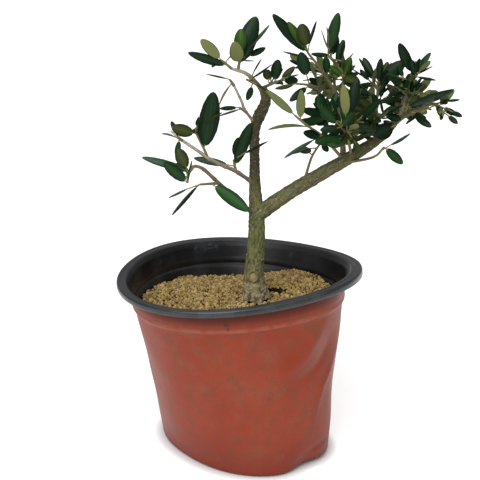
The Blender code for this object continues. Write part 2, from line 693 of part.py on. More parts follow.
def make_mass(name, mass, paths, limbs, others):
    """One stem with its shoots and leaves, less what would touch a limb or another mass."""
    path, radii = paths[mass["on"]]
    stem = stem_path(mass, paths)
    dice = random.Random(mass["seed"])
    solids = []
    for shoot in mass["shoots"]:
        twig, *leaves = shoot_solids(stem, shoot, dice)
        if touches(twig, others) or (not leaves and touches(twig, limbs)):
            continue
        solids.append(twig)
        solids += [solid for solid in leaves if not touches(solid, [*limbs, *others])]
    made = solid_object(name, stem_solid(stem))
    combine(made, solids, "UNION")
    combine(made, [swollen(path, radii)], "DIFFERENCE")
    keep_main_body(made)
    return made


def main():
    for old in list(bpy.data.objects):
        bpy.data.objects.remove(old)
    root = bpy.data.objects.new("olive_bonsai", None)
    bpy.context.scene.collection.objects.link(root)
    plastic = material("pot_plastic", (0.30, 0.065, 0.035), 0.5)
    grit = material("soil_grit", (0.28, 0.20, 0.11), 0.95)
    bark = material("bark", (0.17, 0.15, 0.09), 0.9)
    green = material("leaf", (0.018, 0.05, 0.02), 0.4)

    finish(make_pot(), plastic, root)
    finish(make_soil(), grit, root)
    paths = limb_paths()
    finish(make_trunk(*paths["trunk"]), bark, root)
    for name, bough in BOUGHS.items():
        path, radii = paths[name]
        made = solid_object(name, tube(path, radii, bough["sides"]))
        under, under_radii = paths[bough["on"]]
        shape = trunk_shape if bough["on"] == "trunk" else None
        combine(made, [swollen(under, under_radii, TRUNK_SIDES, shape)], "DIFFERENCE")
        keep_main_body(made)
        finish(made, bark, root)

    limbs = [BVHTree.FromPolygons(*swollen(path, radii)) for path, radii in paths.values()]
    taken = {}
    for name, mass in MASSES.items():
        taken[name] = BVHTree.FromPolygons(*stem_solid(stem_path(mass, paths), CLEAR))
    for name, mass in MASSES.items():
        others = [tree for other, tree in taken.items() if other != name]
        made = make_mass(name, mass, paths, limbs, others)
        points = [v.co.copy() for v in made.data.vertices]
        taken[name] = BVHTree.FromPolygons(points, [tuple(p.vertices) for p in made.data.polygons])
        finish(made, green, root)


main()
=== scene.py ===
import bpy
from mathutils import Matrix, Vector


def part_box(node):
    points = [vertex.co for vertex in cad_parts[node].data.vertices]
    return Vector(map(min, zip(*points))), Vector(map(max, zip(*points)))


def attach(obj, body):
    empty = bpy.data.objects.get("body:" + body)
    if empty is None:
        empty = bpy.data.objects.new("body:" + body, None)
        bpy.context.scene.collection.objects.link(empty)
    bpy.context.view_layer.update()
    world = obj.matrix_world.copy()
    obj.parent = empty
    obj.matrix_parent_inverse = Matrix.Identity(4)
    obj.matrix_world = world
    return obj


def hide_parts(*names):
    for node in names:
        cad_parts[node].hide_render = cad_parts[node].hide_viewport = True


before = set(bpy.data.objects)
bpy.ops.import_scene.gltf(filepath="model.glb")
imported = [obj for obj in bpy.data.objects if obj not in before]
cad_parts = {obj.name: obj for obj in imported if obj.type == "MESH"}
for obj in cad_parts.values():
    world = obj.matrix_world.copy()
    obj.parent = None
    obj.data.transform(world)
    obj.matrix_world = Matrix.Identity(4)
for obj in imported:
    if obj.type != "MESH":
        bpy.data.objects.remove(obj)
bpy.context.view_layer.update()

import math
import random

import bpy
import numpy as np
from mathutils import Matrix, Vector, noise
from mathutils.bvhtree import BVHTree
from mathutils.kdtree import KDTree

# An olive grown as a bonsai, in its soft nursery pot. Lengths are in millimetres until a mesh is made.
# +Z is up, the plant is seen from -Y. A direction is a heading in degrees from +X towards +Y and a rise.
mm = 0.001
clear = 0.3  # gap kept between limbs and leaves

for name in ("Cube", "Light", "Camera"):
    if name in bpy.data.objects:
        bpy.data.objects.remove(bpy.data.objects[name])


# small helpers
def pickOnly(piece):
    bpy.ops.object.select_all(action="DESELECT")
    piece.select_set(True)
    bpy.context.view_layer.objects.active = piece


def newPiece(name, data):
    piece = bpy.data.objects.new(name, data)
    bpy.context.scene.collection.objects.link(piece)
    return piece


def editAll(piece):
    pickOnly(piece)
    bpy.ops.object.mode_set(mode="EDIT")
    bpy.ops.mesh.select_all(action="SELECT")


def pointsOf(piece):
    points = np.empty(len(piece.data.vertices) * 3)
    piece.data.vertices.foreach_get("co", points)
    return points.reshape(-1, 3)


def movePoints(piece, points):
    piece.data.vertices.foreach_set("co", np.asarray(points, dtype=float).ravel())
    piece.data.update()


def pieceFrom(name, points, faces, materials, indices):  # points in mm
    mesh = bpy.data.meshes.new(name)
    mesh.from_pydata((np.asarray(points) * mm).tolist(), [], faces)
    for made in materials:
        mesh.materials.append(made)
    mesh.polygons.foreach_set("material_index", indices)
    return newPiece(name, mesh)


def smoothShade(piece, degrees):
    pickOnly(piece)
    bpy.ops.object.shade_smooth_by_angle(angle=math.radians(degrees))


def held(value, low=0.0, high=1.0):
    return min(max(value, low), high)


def bell(away, spread):  # 1 in the middle, fading to nothing on both sides
    return math.exp(-((away / spread) ** 2))


def turnAway(degrees, heading):  # by how many degrees, from -180 to 180
    return (degrees - heading + 180) % 360 - 180


# node helpers
def tone(r, g, b):  # a colour as it shows on screen, for a shader
    return tuple(c / 12.92 if c <= 0.04045 else ((c + 0.055) / 1.055) ** 2.4
                 for c in (r / 255, g / 255, b / 255)) + (1.0,)


def newMaterial(name, colour, roughness, specular=0.5):
    made = bpy.data.materials.new(name)
    made.use_nodes = True
    shader = made.node_tree.nodes["Principled BSDF"]
    shader.inputs["Base Color"].default_value = colour
    shader.inputs["Roughness"].default_value = roughness
    shader.inputs["Specular IOR Level"].default_value = specular
    return made


def addNode(made, kind, inputs=(), **settings):
    node = made.node_tree.nodes.new("ShaderNode" + kind)
    for key, value in settings.items():
        setattr(node, key, value)
    for key, value in dict(inputs).items():
        if isinstance(value, bpy.types.NodeSocket):
            made.node_tree.links.new(value, node.inputs[key])
        else:
            node.inputs[key].default_value = value
    return node


def grainOf(made, scale, detail=3.0, rough=0.55, stretch=(1, 1, 1)):
    place = addNode(made, "TexCoord").outputs["Object"]
    place = addNode(made, "Mapping", {"Vector": place, "Scale": stretch}).outputs["Vector"]
    inputs = {"Vector": place, "Scale": scale, "Detail": detail, "Roughness": rough}
    return addNode(made, "TexNoise", inputs).outputs["Fac"]


def between(made, value, low, high, least=0.0, most=1.0):
    inputs = {"Value": value, "From Min": low, "From Max": high, "To Min": least, "To Max": most}
    return addNode(made, "MapRange", inputs, interpolation_type="SMOOTHSTEP").outputs["Result"]


def times(made, a, b, how="MULTIPLY"):
    return addNode(made, "Math", {0: a, 1: b}, operation=how).outputs[0]


def blendTones(made, share, a, b):
    return addNode(made, "Mix", {0: share, 6: a, 7: b}, data_type="RGBA").outputs[2]


def layered(made, colour, *layers):  # tones over a colour, each as a pattern goes from one value to another
    for pattern, low, high, least, most, shade in layers:
        colour = blendTones(made, between(made, pattern, low, high, least, most), colour, tone(*shade))
    return colour


def finishMaterial(made, colour, roughness, height, bump, distance):
    tree = made.node_tree
    shader = tree.nodes["Principled BSDF"]
    tree.links.new(colour, shader.inputs["Base Color"])
    if roughness is not None:
        tree.links.new(roughness, shader.inputs["Roughness"])
    raised = addNode(made, "Bump", {"Height": height, "Strength": bump, "Distance": distance})
    tree.links.new(raised.outputs["Normal"], shader.inputs["Normal"])
    return made


# growth: the same rule as in the solids
def direction(heading, rise):
    heading, rise = math.radians(heading), math.radians(rise)
    return Vector((math.cos(rise) * math.cos(heading), math.cos(rise) * math.sin(heading), math.sin(rise)))


def walk(start, run):
    points = [Vector(start)]
    for heading, rise, length in run:
        points.append(points[-1] + length * direction(heading, rise))
    return points


def flow(points, steps=2):  # points on a smooth curve through the given ones
    ends = [2 * points[0] - points[1], *points, 2 * points[-1] - points[-2]]
    curve = []
    for before, a, b, after in zip(ends, ends[1:], ends[2:], ends[3:]):
        for i in range(steps):
            t = i / steps
            curve.append(0.5 * (2 * a + (b - before) * t + (2 * before - 5 * a + 4 * b - after) * t**2
                                + (3 * a - before - 3 * b + after) * t**3))
    return [*curve, points[-1].copy()]


def along(values, share):
    place = held(share) * (len(values) - 1)
    i = min(int(place), len(values) - 2)
    return values[i] + (values[i + 1] - values[i]) * (place - i)


def pointOn(path, share):
    lengths = [(b - a).length for a, b in zip(path, path[1:])]
    left = share * sum(lengths)
    for a, b, length in zip(path, path[1:], lengths):
        if left <= length:
            return a.lerp(b, left / length)
        left -= length
    return path[-1].copy()


def lofted(rings, start=None, end=None):  # rings joined up, with a flat end or a point at each end
    count, last = len(rings[0]), (len(rings) - 1) * len(rings[0])
    points = [p for ring in rings for p in ring]
    faces = [
        (r + i, r + (i + 1) % count, r + count + (i + 1) % count, r + count + i)
        for r in range(0, last, count) for i in range(count)
    ]
    for tip, ring in ((start, [*range(count)][::-1]), (end, [last + i for i in range(count)])):
        if tip is None:
            faces.append(tuple(ring))
        else:
            points.append(tip)
            faces += [(len(points) - 1, a, b) for a, b in zip(ring, ring[1:] + ring[:1])]
    return points, faces


def tube(path, radii, sides):
    rings = []
    across = (path[1] - path[0]).orthogonal().normalized()
    for i, point in enumerate(path):
        tangent = (path[min(i + 1, len(path) - 1)] - path[max(i - 1, 0)]).normalized()
        across = (across - tangent * across.dot(tangent)).normalized()
        other = tangent.cross(across)
        radius = along(radii, i / (len(path) - 1))
        turns = [2 * math.pi * k / sides for k in range(sides)]
        rings.append([point + radius * (math.cos(a) * across + math.sin(a) * other) for a in turns])
    return lofted(rings)


def joined(solids):  # many small solids as one
    points, faces = [], []
    for some, others in solids:
        start = len(points)
        points += some
        faces += [tuple(start + i for i in face) for face in others]
    return points, faces


# Pot: thin thermoformed plastic that has gone out of round. Marks are placed by heading and height.
pot = dict(
    height=106.5, rimRadius=75.0, rimWidth=6.5, wall=1.2, footRadius=51.2, footCurve=3.0, floorThick=1.6,
    stepHeight=91.0, sides=256, ringGap=1.7,
    rimCentre=(-1.6, 4.6), footCentre=(1.6, -5.8),  # it leans back from its foot
    # out of round and out of level: by how much, and the heading of the most
    rimOval=(0.035, 67.0), rimCorners=(0.03, -20.7), footOval=(0.136, -52.6),
    rimTilt=(2.0, -17.0), rimWave=(2.4, -30.0),
    lift=(3.0, -43.7, 19.4), liftFrom=30.0, liftTall=25.0,  # the foot's bent edge: height, heading, spread
    # a dent: heading, height, its spread in degrees and in height, and its depth
    dents=(
        (-8.0, 92.4, 28.0, 25.4, 3.0), (-17.0, 47.3, 13.4, 21.2, 2.9), (-38.0, 70.0, 10.0, 9.0, 1.8),
        (-50.0, 0.0, 11.0, 9.0, 4.0),
    ),
    dentEnds=(68.0, 72.0),  # radii between which the dents fade
    collarOut=0.7,  # how far the band above the step stands out
    # a crease: its depth, its width, and the headings and heights that it runs through
    creases=(
        (1.0, 4.6, ((-86, 66), (-78, 70), (-70, 75.5), (-62, 81))),
        (-2.1, 3.9, ((-82, 56), (-74, 59.5), (-65, 65), (-56, 71), (-48, 79), (-41, 87))),
        (1.4, 3.1, ((-66, 51), (-60, 56), (-53, 59.5), (-46, 62.5), (-38, 68), (-32, 75))),
        (-1.4, 1.4, (
            (-49, 24), (-47, 33), (-44.5, 42.5), (-41.5, 49.5), (-36.5, 54.5), (-31.5, 59), (-26, 65),
            (-21, 71),
        )),
        (0.8, 0.9, ((-54, 9), (-47, 9), (-40, 10.5), (-33, 11.5), (-26, 12))),
        (-0.6, 1.6, ((-54, 5), (-46, 5.5), (-38, 7), (-30, 8.5))),
    ),
    degreeLength=1.05,  # mm of wall to a degree
    waver=0.35, waverSpread=26.0, waverTop=100.0,  # slow unevenness of the wall
    # marks: heading, height and size
    smudges=(
        (-111.7, 80.5, 1.6), (-91, 47.5, 1.9), (-67.5, 53, 1.6), (-51.2, 52, 2.1), (-119.7, 45.5, 1.8),
        (-52.2, 23.7, 2.2), (-67.5, 12.2, 1.9), (-107.5, 9.2, 1.8), (-144.2, 15, 2.0), (-123, 27.2, 1.6),
        (-93, 62, 1.4), (-126, 60, 1.5), (-81, 30, 1.3), (72, 50, 2.2), (140, 38, 2.4), (10, 62, 2.0),
        (-160, 58, 1.8),
    ),
    streaks=((-96.5, 97.5, 1.7), (-95.5, 95.0, 1.5)),  # the dark mark under the rim
    scuffs=(  # on the inside, under the rim
        (103, 101.6, 3.6), (106, 102.0, 4.4), (110, 102.2, 4.8), (114, 101.8, 4.0), (142, 98, 2.6),
        (60, 100, 2.6),
    ),
    # the rim from the collar over the lip to the inside, as radii and heights
    rim=(
        (69.7, 104.6), (70.3, 105.15), (71.0, 105.3), (72.6, 105.3), (73.4, 105.1), (73.75, 104.6),
        (73.8, 103.5), (73.95, 102.9), (74.4, 102.65), (74.8, 102.85), (74.98, 103.3), (75.0, 104.2),
        (75.0, 105.0), (74.9, 105.7), (74.6, 106.25), (74.1, 106.5), (73.5, 106.45), (72.6, 106.2),
        (71.4, 106.15), (70.7, 106.2), (70.1, 106.3), (69.6, 106.1), (69.1, 105.4), (68.7, 104.6),
    ),
    rimFrom=71.5, rimAbove=105.0, insideFrom=69.3,  # where the rim's and the inside's colours begin
    # the stacking step, as heights from its level and how far the wall stands out there
    step=((-1.6, 0.1), (-0.9, 0.4), (-0.3, 1.0), (0.3, 1.05), (1.1, 0.7), (2.0, 0.35), (3.6, 0.7)),
    collarRings=(96.0, 98.0, 100.0, 102.0, 103.6), collarRingsInside=(103.2, 102.0, 100.0, 98.0, 96.0),
    innerTop=88.5, innerFoot=6.0,  # the smooth part of the inner wall
)


def wallRadius(height):
    top = pot["rimRadius"] - pot["rimWidth"] - 0.5 * pot["wall"]
    foot = pot["footRadius"] - 0.5 * pot["wall"]
    tall = pot["height"] - pot["wall"] - pot["footCurve"]
    return foot + (height - pot["footCurve"]) / tall * (top - foot)


def potPlace(turn, radius, height):  # where a point of the round pot lies on the one out of shape
    up = height / pot["height"]
    degrees = math.degrees(turn)

    def wave(lobes, share, heading):
        return share * math.cos(math.radians(lobes * (degrees - heading)))

    oval = up * (wave(2, *pot["rimOval"]) + wave(3, *pot["rimCorners"]))
    out = radius * (1 + (oval + (1 - up) * wave(2, *pot["footOval"])))
    rise = up**2 * (wave(1, *pot["rimTilt"]) + wave(2, *pot["rimWave"]))
    least, most = pot["dentEnds"]
    dented = held((most - radius) / (most - least))
    for heading, middle, spread, tall, depth in pot["dents"]:
        away = turnAway(degrees, heading)
        out -= dented * depth * math.exp(-((away / spread) ** 2) - ((height - middle) / tall) ** 2)
    depth, heading, spread = pot["lift"]
    edge = max(0.0, (radius - pot["liftFrom"]) / (pot["footRadius"] - pot["liftFrom"]))
    low = max(0.0, 1 - height / pot["liftTall"])
    rise += depth * low * edge**2 * bell(turnAway(degrees, heading), spread)
    centre = Vector(pot["footCentre"]).lerp(Vector(pot["rimCentre"]), up)
    return Vector((centre.x + out * math.cos(turn), centre.y + out * math.sin(turn), height + rise))


def creaseDepth(degrees, height):  # how far the wall is pressed in by its creases
    place = Vector((degrees * pot["degreeLength"], height))
    depth = 0.0
    for press, width, line in pot["creases"]:
        marks = [Vector((heading * pot["degreeLength"], level)) for heading, level in line]
        whole = sum((b - a).length for a, b in zip(marks, marks[1:]))
        nearest, run, passed = 1e9, 0.0, 0.0
        for a, b in zip(marks, marks[1:]):
            share = held((place - a).dot(b - a) / (b - a).length_squared)
            away = (place - a.lerp(b, share)).length
            if away < nearest:
                nearest, run = away, passed + share * (b - a).length
            passed += (b - a).length
        if nearest < 4 * width:
            soft = 0.4 * width  # rounds the bottom of the crease
            fades = math.sin(math.pi * held(run / whole, 0.04, 0.96))
            depth += press * fades * math.exp((soft - math.hypot(nearest, soft)) / width)
    return depth


def potProfile():  # from the middle of the underside, out, up, over the rim and down the inside
    foot, curve, half, out = pot["footRadius"], pot["footCurve"], 0.5 * pot["wall"], pot["collarOut"]
    inner, floor, level = curve - pot["wall"], pot["floorThick"], pot["stepHeight"]
    turns = [math.radians(10 * i) for i in range(10)]

    def wall(heights, side, stands=0.0):
        return [(wallRadius(z) + side * half + stands, z) for z in heights]

    def step(side, marks):
        return [point for z, stands in marks for point in wall([level + z], side, stands)]

    line = [(share * foot, 0.0) for share in (0.0, 0.3, 0.55, 0.66, 0.76, 0.85)]
    line += [(foot - curve + curve * math.sin(a), curve - curve * math.cos(a)) for a in turns]
    line += wall(np.arange(curve + 1.5, level - 2.0, pot["ringGap"]), 1) + step(1, pot["step"])
    line += [*wall(pot["collarRings"], 1, out), *pot["rim"], *wall(pot["collarRingsInside"], -1, out)]
    line += step(-1, pot["step"][::-1])
    line += wall(np.arange(pot["innerTop"], pot["innerFoot"], -1.5 * pot["ringGap"]), -1)
    line += [(foot - curve + inner * math.sin(a), curve - inner * math.cos(a)) for a in turns[6:1:-2]]
    return line + [(share * foot, floor) for share in (0.6, 0.3, 0.0)]


def markOn(made, colour, marks, soft, squash, most, shade):  # small soft patches at places on the wall
    place, whole = addNode(made, "TexCoord").outputs["Object"], None
    for heading, level, size in marks:
        spot = potPlace(math.radians(heading), wallRadius(level) + 0.5 * pot["wall"], level) * mm
        off = addNode(made, "VectorMath", {0: place, 1: spot}, operation="SUBTRACT").outputs[0]
        flat = addNode(made, "VectorMath", {0: off, 1: (1, 1, squash)}, operation="MULTIPLY").outputs[0]
        away = addNode(made, "VectorMath", {0: flat}, operation="LENGTH").outputs["Value"]
        mark = between(made, away, 0.2 * size * mm, size * mm, 1, 0)
        whole = mark if whole is None else times(made, whole, mark, "MAXIMUM")
    return blendTones(made, times(made, times(made, whole, soft), most), colour, tone(*shade))


def terracottaMaterial():
    made = newMaterial("terracottaPlastic", tone(138, 56, 36), 0.46, 0.2)
    broad, film = grainOf(made, 26, 4, 0.55), grainOf(made, 62, 5, 0.65)
    mottle, fine = grainOf(made, 150, 4, 0.6), grainOf(made, 620, 3, 0.65)
    smudge, dust = grainOf(made, 800, 4, 0.7), grainOf(made, 1400, 2, stretch=(1, 1, 1.6))
    level = addNode(made, "Attribute", attribute_name="wallLevel").outputs["Fac"]  # height, in metres
    # random tones; the band under the rim is darkened as a painted shadow of the rim, and the wall darkens
    # towards the foot
    colour = layered(
        made, tone(135, 50, 29), (broad, 0.36, 0.66, 0, 1, (140, 60, 39)),
        (film, 0.48, 0.7, 0, 0.5, (124, 76, 56)), (mottle, 0.46, 0.68, 0, 0.6, (114, 62, 42)),
        (fine, 0.54, 0.72, 0, 0.4, (96, 56, 40)), (level, 0.0925, 0.1, 0, 0.95, (84, 28, 18)),
        (level, 0, 0.03, 0.6, 0, (108, 36, 22)),
    )
    # a paler line along the step
    above, below = between(made, level, 0.0902, 0.0913), between(made, level, 0.0919, 0.0936, 1, 0)
    stepLine = times(made, times(made, above, below), between(made, mottle, 0.3, 0.6, 0.15, 0.45))
    colour = blendTones(made, stepLine, colour, tone(170, 104, 88))
    softly = between(made, smudge, 0.34, 0.66)
    colour = markOn(made, colour, pot["smudges"], softly, 0.6, 0.7, (88, 82, 64))
    colour = markOn(made, colour, pot["streaks"], between(made, fine, 0.2, 0.6), 0.35, 1, (58, 38, 34))
    colour = layered(made, colour, (dust, 0.64, 0.78, 0, 0.25, (164, 104, 84)))
    height = times(made, times(made, fine, 0.6), mottle, "ADD")
    return finishMaterial(made, colour, between(made, broad, 0.35, 0.65, 0.4, 0.52), height, 0.2, 0.0003)


def rimMaterial():
    made = newMaterial("rimPlastic", tone(52, 53, 57), 0.36, 0.5)
    broad, fine = grainOf(made, 60, 4), grainOf(made, 900)
    layers = (broad, 0.35, 0.65, 0, 1, (53, 54, 57)), (fine, 0.6, 0.78, 0, 0.4, (98, 96, 90))
    colour = layered(made, tone(36, 37, 40), *layers)
    return finishMaterial(made, colour, between(made, broad, 0.3, 0.7, 0.26, 0.38), fine, 0.15, 0.0002)


def insideMaterial():
    made = newMaterial("blackPlastic", tone(24, 24, 26), 0.38, 0.4)
    broad, smear = grainOf(made, 45, 4), grainOf(made, 320, 4, 0.7, (1, 1, 3))
    colour = layered(made, tone(20, 20, 22), (broad, 0.4, 0.7, 0, 1, (38, 38, 40)))
    colour = markOn(made, colour, pot["scuffs"], between(made, smear, 0.36, 0.66), 1, 0.42, (90, 94, 102))
    colour = layered(made, colour, (smear, 0.62, 0.76, 0, 0.3, (80, 80, 82)))
    return finishMaterial(made, colour, between(made, broad, 0.3, 0.7, 0.3, 0.5), smear, 0.15, 0.0003)


def unevenWall(x, y, z):  # where a point of the round pot ends up
    turn, radius, foot = math.atan2(y, x), math.hypot(x, y), pot["footCurve"]
    if radius > 40 and z > foot:  # the wall, not the floor
        slow = noise.noise(Vector((x, y, 1.4 * z)) / pot["waverSpread"]) * min(1.0, (z - foot) / 12)
        slow *= held((pot["waverTop"] - z) / 8)
        radius += pot["waver"] * slow - creaseDepth(math.degrees(turn), z)
    return potPlace(turn, radius, z)


def makePot():
    profile = np.array(potProfile())
    rimStart = next(i for i, (r, z) in enumerate(profile) if r > pot["rimFrom"] and z > pot["rimAbove"])
    insideStart = next(i for i, (r, z) in enumerate(profile) if i > rimStart and r < pot["insideFrom"])
    mesh = bpy.data.meshes.new("potBody")
    edges = [(i, i + 1) for i in range(len(profile) - 1)]
    mesh.from_pydata([(r * mm, 0.0, z * mm) for r, z in profile], edges, [])
    body = newPiece("potBody", mesh)
    editAll(body)
    bpy.ops.mesh.spin(steps=pot["sides"], angle=2 * math.pi, center=(0, 0, 0), axis=(0, 0, 1))
    bpy.ops.mesh.select_all(action="SELECT")
    bpy.ops.mesh.remove_doubles(threshold=0.02 * mm)
    bpy.ops.mesh.normals_make_consistent(inside=False)
    bpy.ops.object.mode_set(mode="OBJECT")
    for made in (terracottaMaterial(), rimMaterial(), insideMaterial()):
        mesh.materials.append(made)
    middles = (profile[1:] + profile[:-1]) / 2
    for face in mesh.polygons:  # each face belongs to the stretch of the profile that it is nearest to
        place = np.array((math.hypot(face.center.x, face.center.y), face.center.z)) / mm
        i = int(np.argmin(((middles - place) ** 2).sum(axis=1)))
        face.material_index = 0 if i < rimStart else 1 if i < insideStart else 2
    points = pointsOf(body) / mm
    mesh.attributes.new("wallLevel", "FLOAT", "POINT").data.foreach_set("value", points[:, 2] * mm)
    movePoints(body, np.array([unevenWall(*point) for point in points]) * mm)
    smoothShade(body, 50)
    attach(body, "root")
    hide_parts("pot")
    print("pot", len(mesh.polygons), "faces")


makePot()


# Soil: rounded granules of fired clay over the solid's own surface
soil = dict(
    spacing=2.5, jitter=1.0, sizes=(1.7, 2.95), largest=3.9, largeShare=0.05, sunk=0.12, variants=8,
    seed=11,
    lower=1.7,  # how far the granules sink below the solid's top, which follows their own
    under=1.8,  # how much lower the second layer lies
    loose=260, looseLift=(0.5, 1.2),  # granules that lie on top of the others
    bedFrom=80.0, bedDrop=3.3, bedInset=0.02,  # the share by which the bed stands back from the wall
    dip=(2.4, 92.0, 20.0),  # the back lies lower still: by how much, its heading and its spread
    trunkFoot=(8.6, -4.0), trunkClear=8.2, wallClear=0.4, wallLevel=88.6,
    # places with no granule, and their radii
    hollows=((17.5, 9.5, 3.0), (21.5, 9.0, 3.4), (26.0, 8.0, 2.6), (17.5, 2.0, 2.2), (16.5, -12.5, 2.4)),
    # the two tones that each kind of granule goes between; the fourth kind is dark as painted shade
    tones=(
        ((146, 120, 71), (183, 155, 101)), ((126, 102, 58), (161, 134, 82)),
        ((158, 132, 84), (195, 169, 117)), ((44, 34, 19), (70, 55, 32)), ((136, 115, 78), (168, 147, 106)),
    ),
    dealt=(0, 0, 0, 1, 1, 2, 2, 4), low=3,  # the kinds on top, and the kind in the lower layer, dark as painted shade
    stretch=((0.85, 1.1), (0.85, 1.05), (0.7, 0.95)),
)


def granuleMaterials():
    made = []
    for i, (dark, light) in enumerate(soil["tones"]):
        grit = newMaterial(f"clayGrit{i}", tone(*light), 0.95, 0.2)
        speck, patch = grainOf(grit, 1900, 3, 0.7), grainOf(grit, 420, 2)
        layers = (patch, 0.35, 0.65, 0, 1, light), (speck, 0.6, 0.75, 0, 0.5, (92, 74, 44))
        made.append(finishMaterial(grit, layered(grit, tone(*dark), *layers), None, speck, 0.6, 0.0003))
    return made


def shadedBedMaterial():
    # dark brown: painted shade for the gaps between the granules
    made = newMaterial("soilBed", tone(34, 27, 16), 1.0, 0.1)
    speck = grainOf(made, 900, 4, 0.7)
    colour = layered(made, tone(20, 16, 10), (speck, 0.35, 0.65, 0, 1, (54, 43, 27)))
    return finishMaterial(made, colour, None, speck, 0.8, 0.0008)


def modelGranule(variant):  # a worn lump of 30 triangles, one unit across
    bpy.ops.mesh.primitive_uv_sphere_add(segments=5, ring_count=4, radius=0.5)
    grain = bpy.context.object
    editAll(grain)
    bpy.ops.transform.vertex_random(offset=0.09, seed=variant)
    bpy.ops.object.mode_set(mode="OBJECT")
    points = pointsOf(grain)
    faces = [tuple(face.vertices) for face in grain.data.polygons]
    bpy.data.objects.remove(grain)
    return points, faces


def soilDip(x, y):  # how much lower the soil lies at the back, fading towards the trunk
    most, heading, spread = soil["dip"]
    away = turnAway(math.degrees(math.atan2(y, x)), heading)
    return most * bell(away, spread) * min(1.0, math.hypot(x, y) / 45.0) ** 2


def granulePlaces(dice):  # two close layers and the loose ones, each dropped onto the solid's top
    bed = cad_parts["soil"].data
    sides = [tuple(face.vertices) for face in bed.polygons]
    tree = BVHTree.FromPolygons([vertex.co / mm for vertex in bed.vertices], sides)
    gap, reach, level = soil["spacing"], pot["rimRadius"], soil["wallLevel"]
    bare = ((*soil["trunkFoot"], soil["trunkClear"]), *soil["hollows"])
    spots = []
    rows = int(reach / gap) + 1
    for row in range(-rows, rows + 1):
        for column in range(-rows, rows + 1):
            x = (column + 0.5 * (row % 2)) * gap + dice.uniform(-0.5, 0.5) * soil["jitter"]
            y = row * gap * math.sqrt(0.75) + dice.uniform(-0.5, 0.5) * soil["jitter"]
            spots += [(x, y, 0.0), (x + 0.5 * gap, y + 0.29 * gap, -soil["under"])]
    for _ in range(soil["loose"]):
        out, turn = reach * math.sqrt(dice.random()), dice.uniform(0, 2 * math.pi)
        spots.append((out * math.cos(turn), out * math.sin(turn), dice.uniform(*soil["looseLift"])))
    for x, y, lift in spots:
        size = dice.uniform(*soil["sizes"])
        if dice.random() < soil["largeShare"]:
            size = soil["largest"]
        wall = potPlace(math.atan2(y, x), wallRadius(level) - 0.5 * pot["wall"], level)
        nearWall = math.hypot(x, y) > math.hypot(wall.x, wall.y) - 0.5 * size - soil["wallClear"]
        if nearWall or any(math.hypot(x - a, y - b) < r for a, b, r in bare):
            continue
        hit = tree.ray_cast(Vector((x, y, 200)), Vector((0, 0, -1)))[0]
        if hit is not None:
            z = hit.z + size * (0.5 - soil["sunk"]) - soil["lower"] - soilDip(x, y) + lift
            yield x, y, z, size, lift < 0


def makeBed():  # the plug itself: the solid's own mesh, merged, and lowered under the granules
    bed = newPiece("soilBed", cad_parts["soil"].data.copy())
    bed.data.materials.clear()
    bed.data.materials.append(shadedBedMaterial())
    editAll(bed)
    bpy.ops.mesh.remove_doubles(threshold=0.001 * mm)
    bpy.ops.object.mode_set(mode="OBJECT")
    points = pointsOf(bed)
    points[:, :2] *= 1 - soil["bedInset"]
    for point in points:
        if point[2] > soil["bedFrom"] * mm:
            point[2] -= (soil["bedDrop"] + soilDip(point[0] / mm, point[1] / mm)) * mm
    movePoints(bed, points)
    return bed


def makeSoil():
    bed = makeBed()
    dice = random.Random(soil["seed"])
    shapes = [modelGranule(variant) for variant in range(soil["variants"])]
    points, faces, tints = [], [], []
    for x, y, z, size, low in granulePlaces(dice):
        shape, quads = dice.choice(shapes)
        turned = Matrix.Rotation(dice.uniform(0, 6.3), 3, "Z")
        for axis in "XY":
            turned = turned @ Matrix.Rotation(dice.uniform(0, 3.1), 3, axis)
        stretch = np.array([size * dice.uniform(*ends) for ends in soil["stretch"]])
        faces += [tuple(len(points) * len(shape) + i for i in quad) for quad in quads]
        points.append((shape * stretch) @ np.array(turned).T + (x, y, z))
        # the lower layer takes the dark kind: painted shade between the granules on top
        tints += [soil["low"] if low else dice.choice(soil["dealt"])] * len(quads)
    grit = pieceFrom("granules", np.concatenate(points), faces, granuleMaterials(), tints)
    smoothShade(grit, 60)  # which leaves it picked
    bed.select_set(True)
    bpy.ops.object.join()
    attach(grit, "root")
    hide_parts("soil")
    print("granules", len(points), len(faces), "faces")


makeSoil()


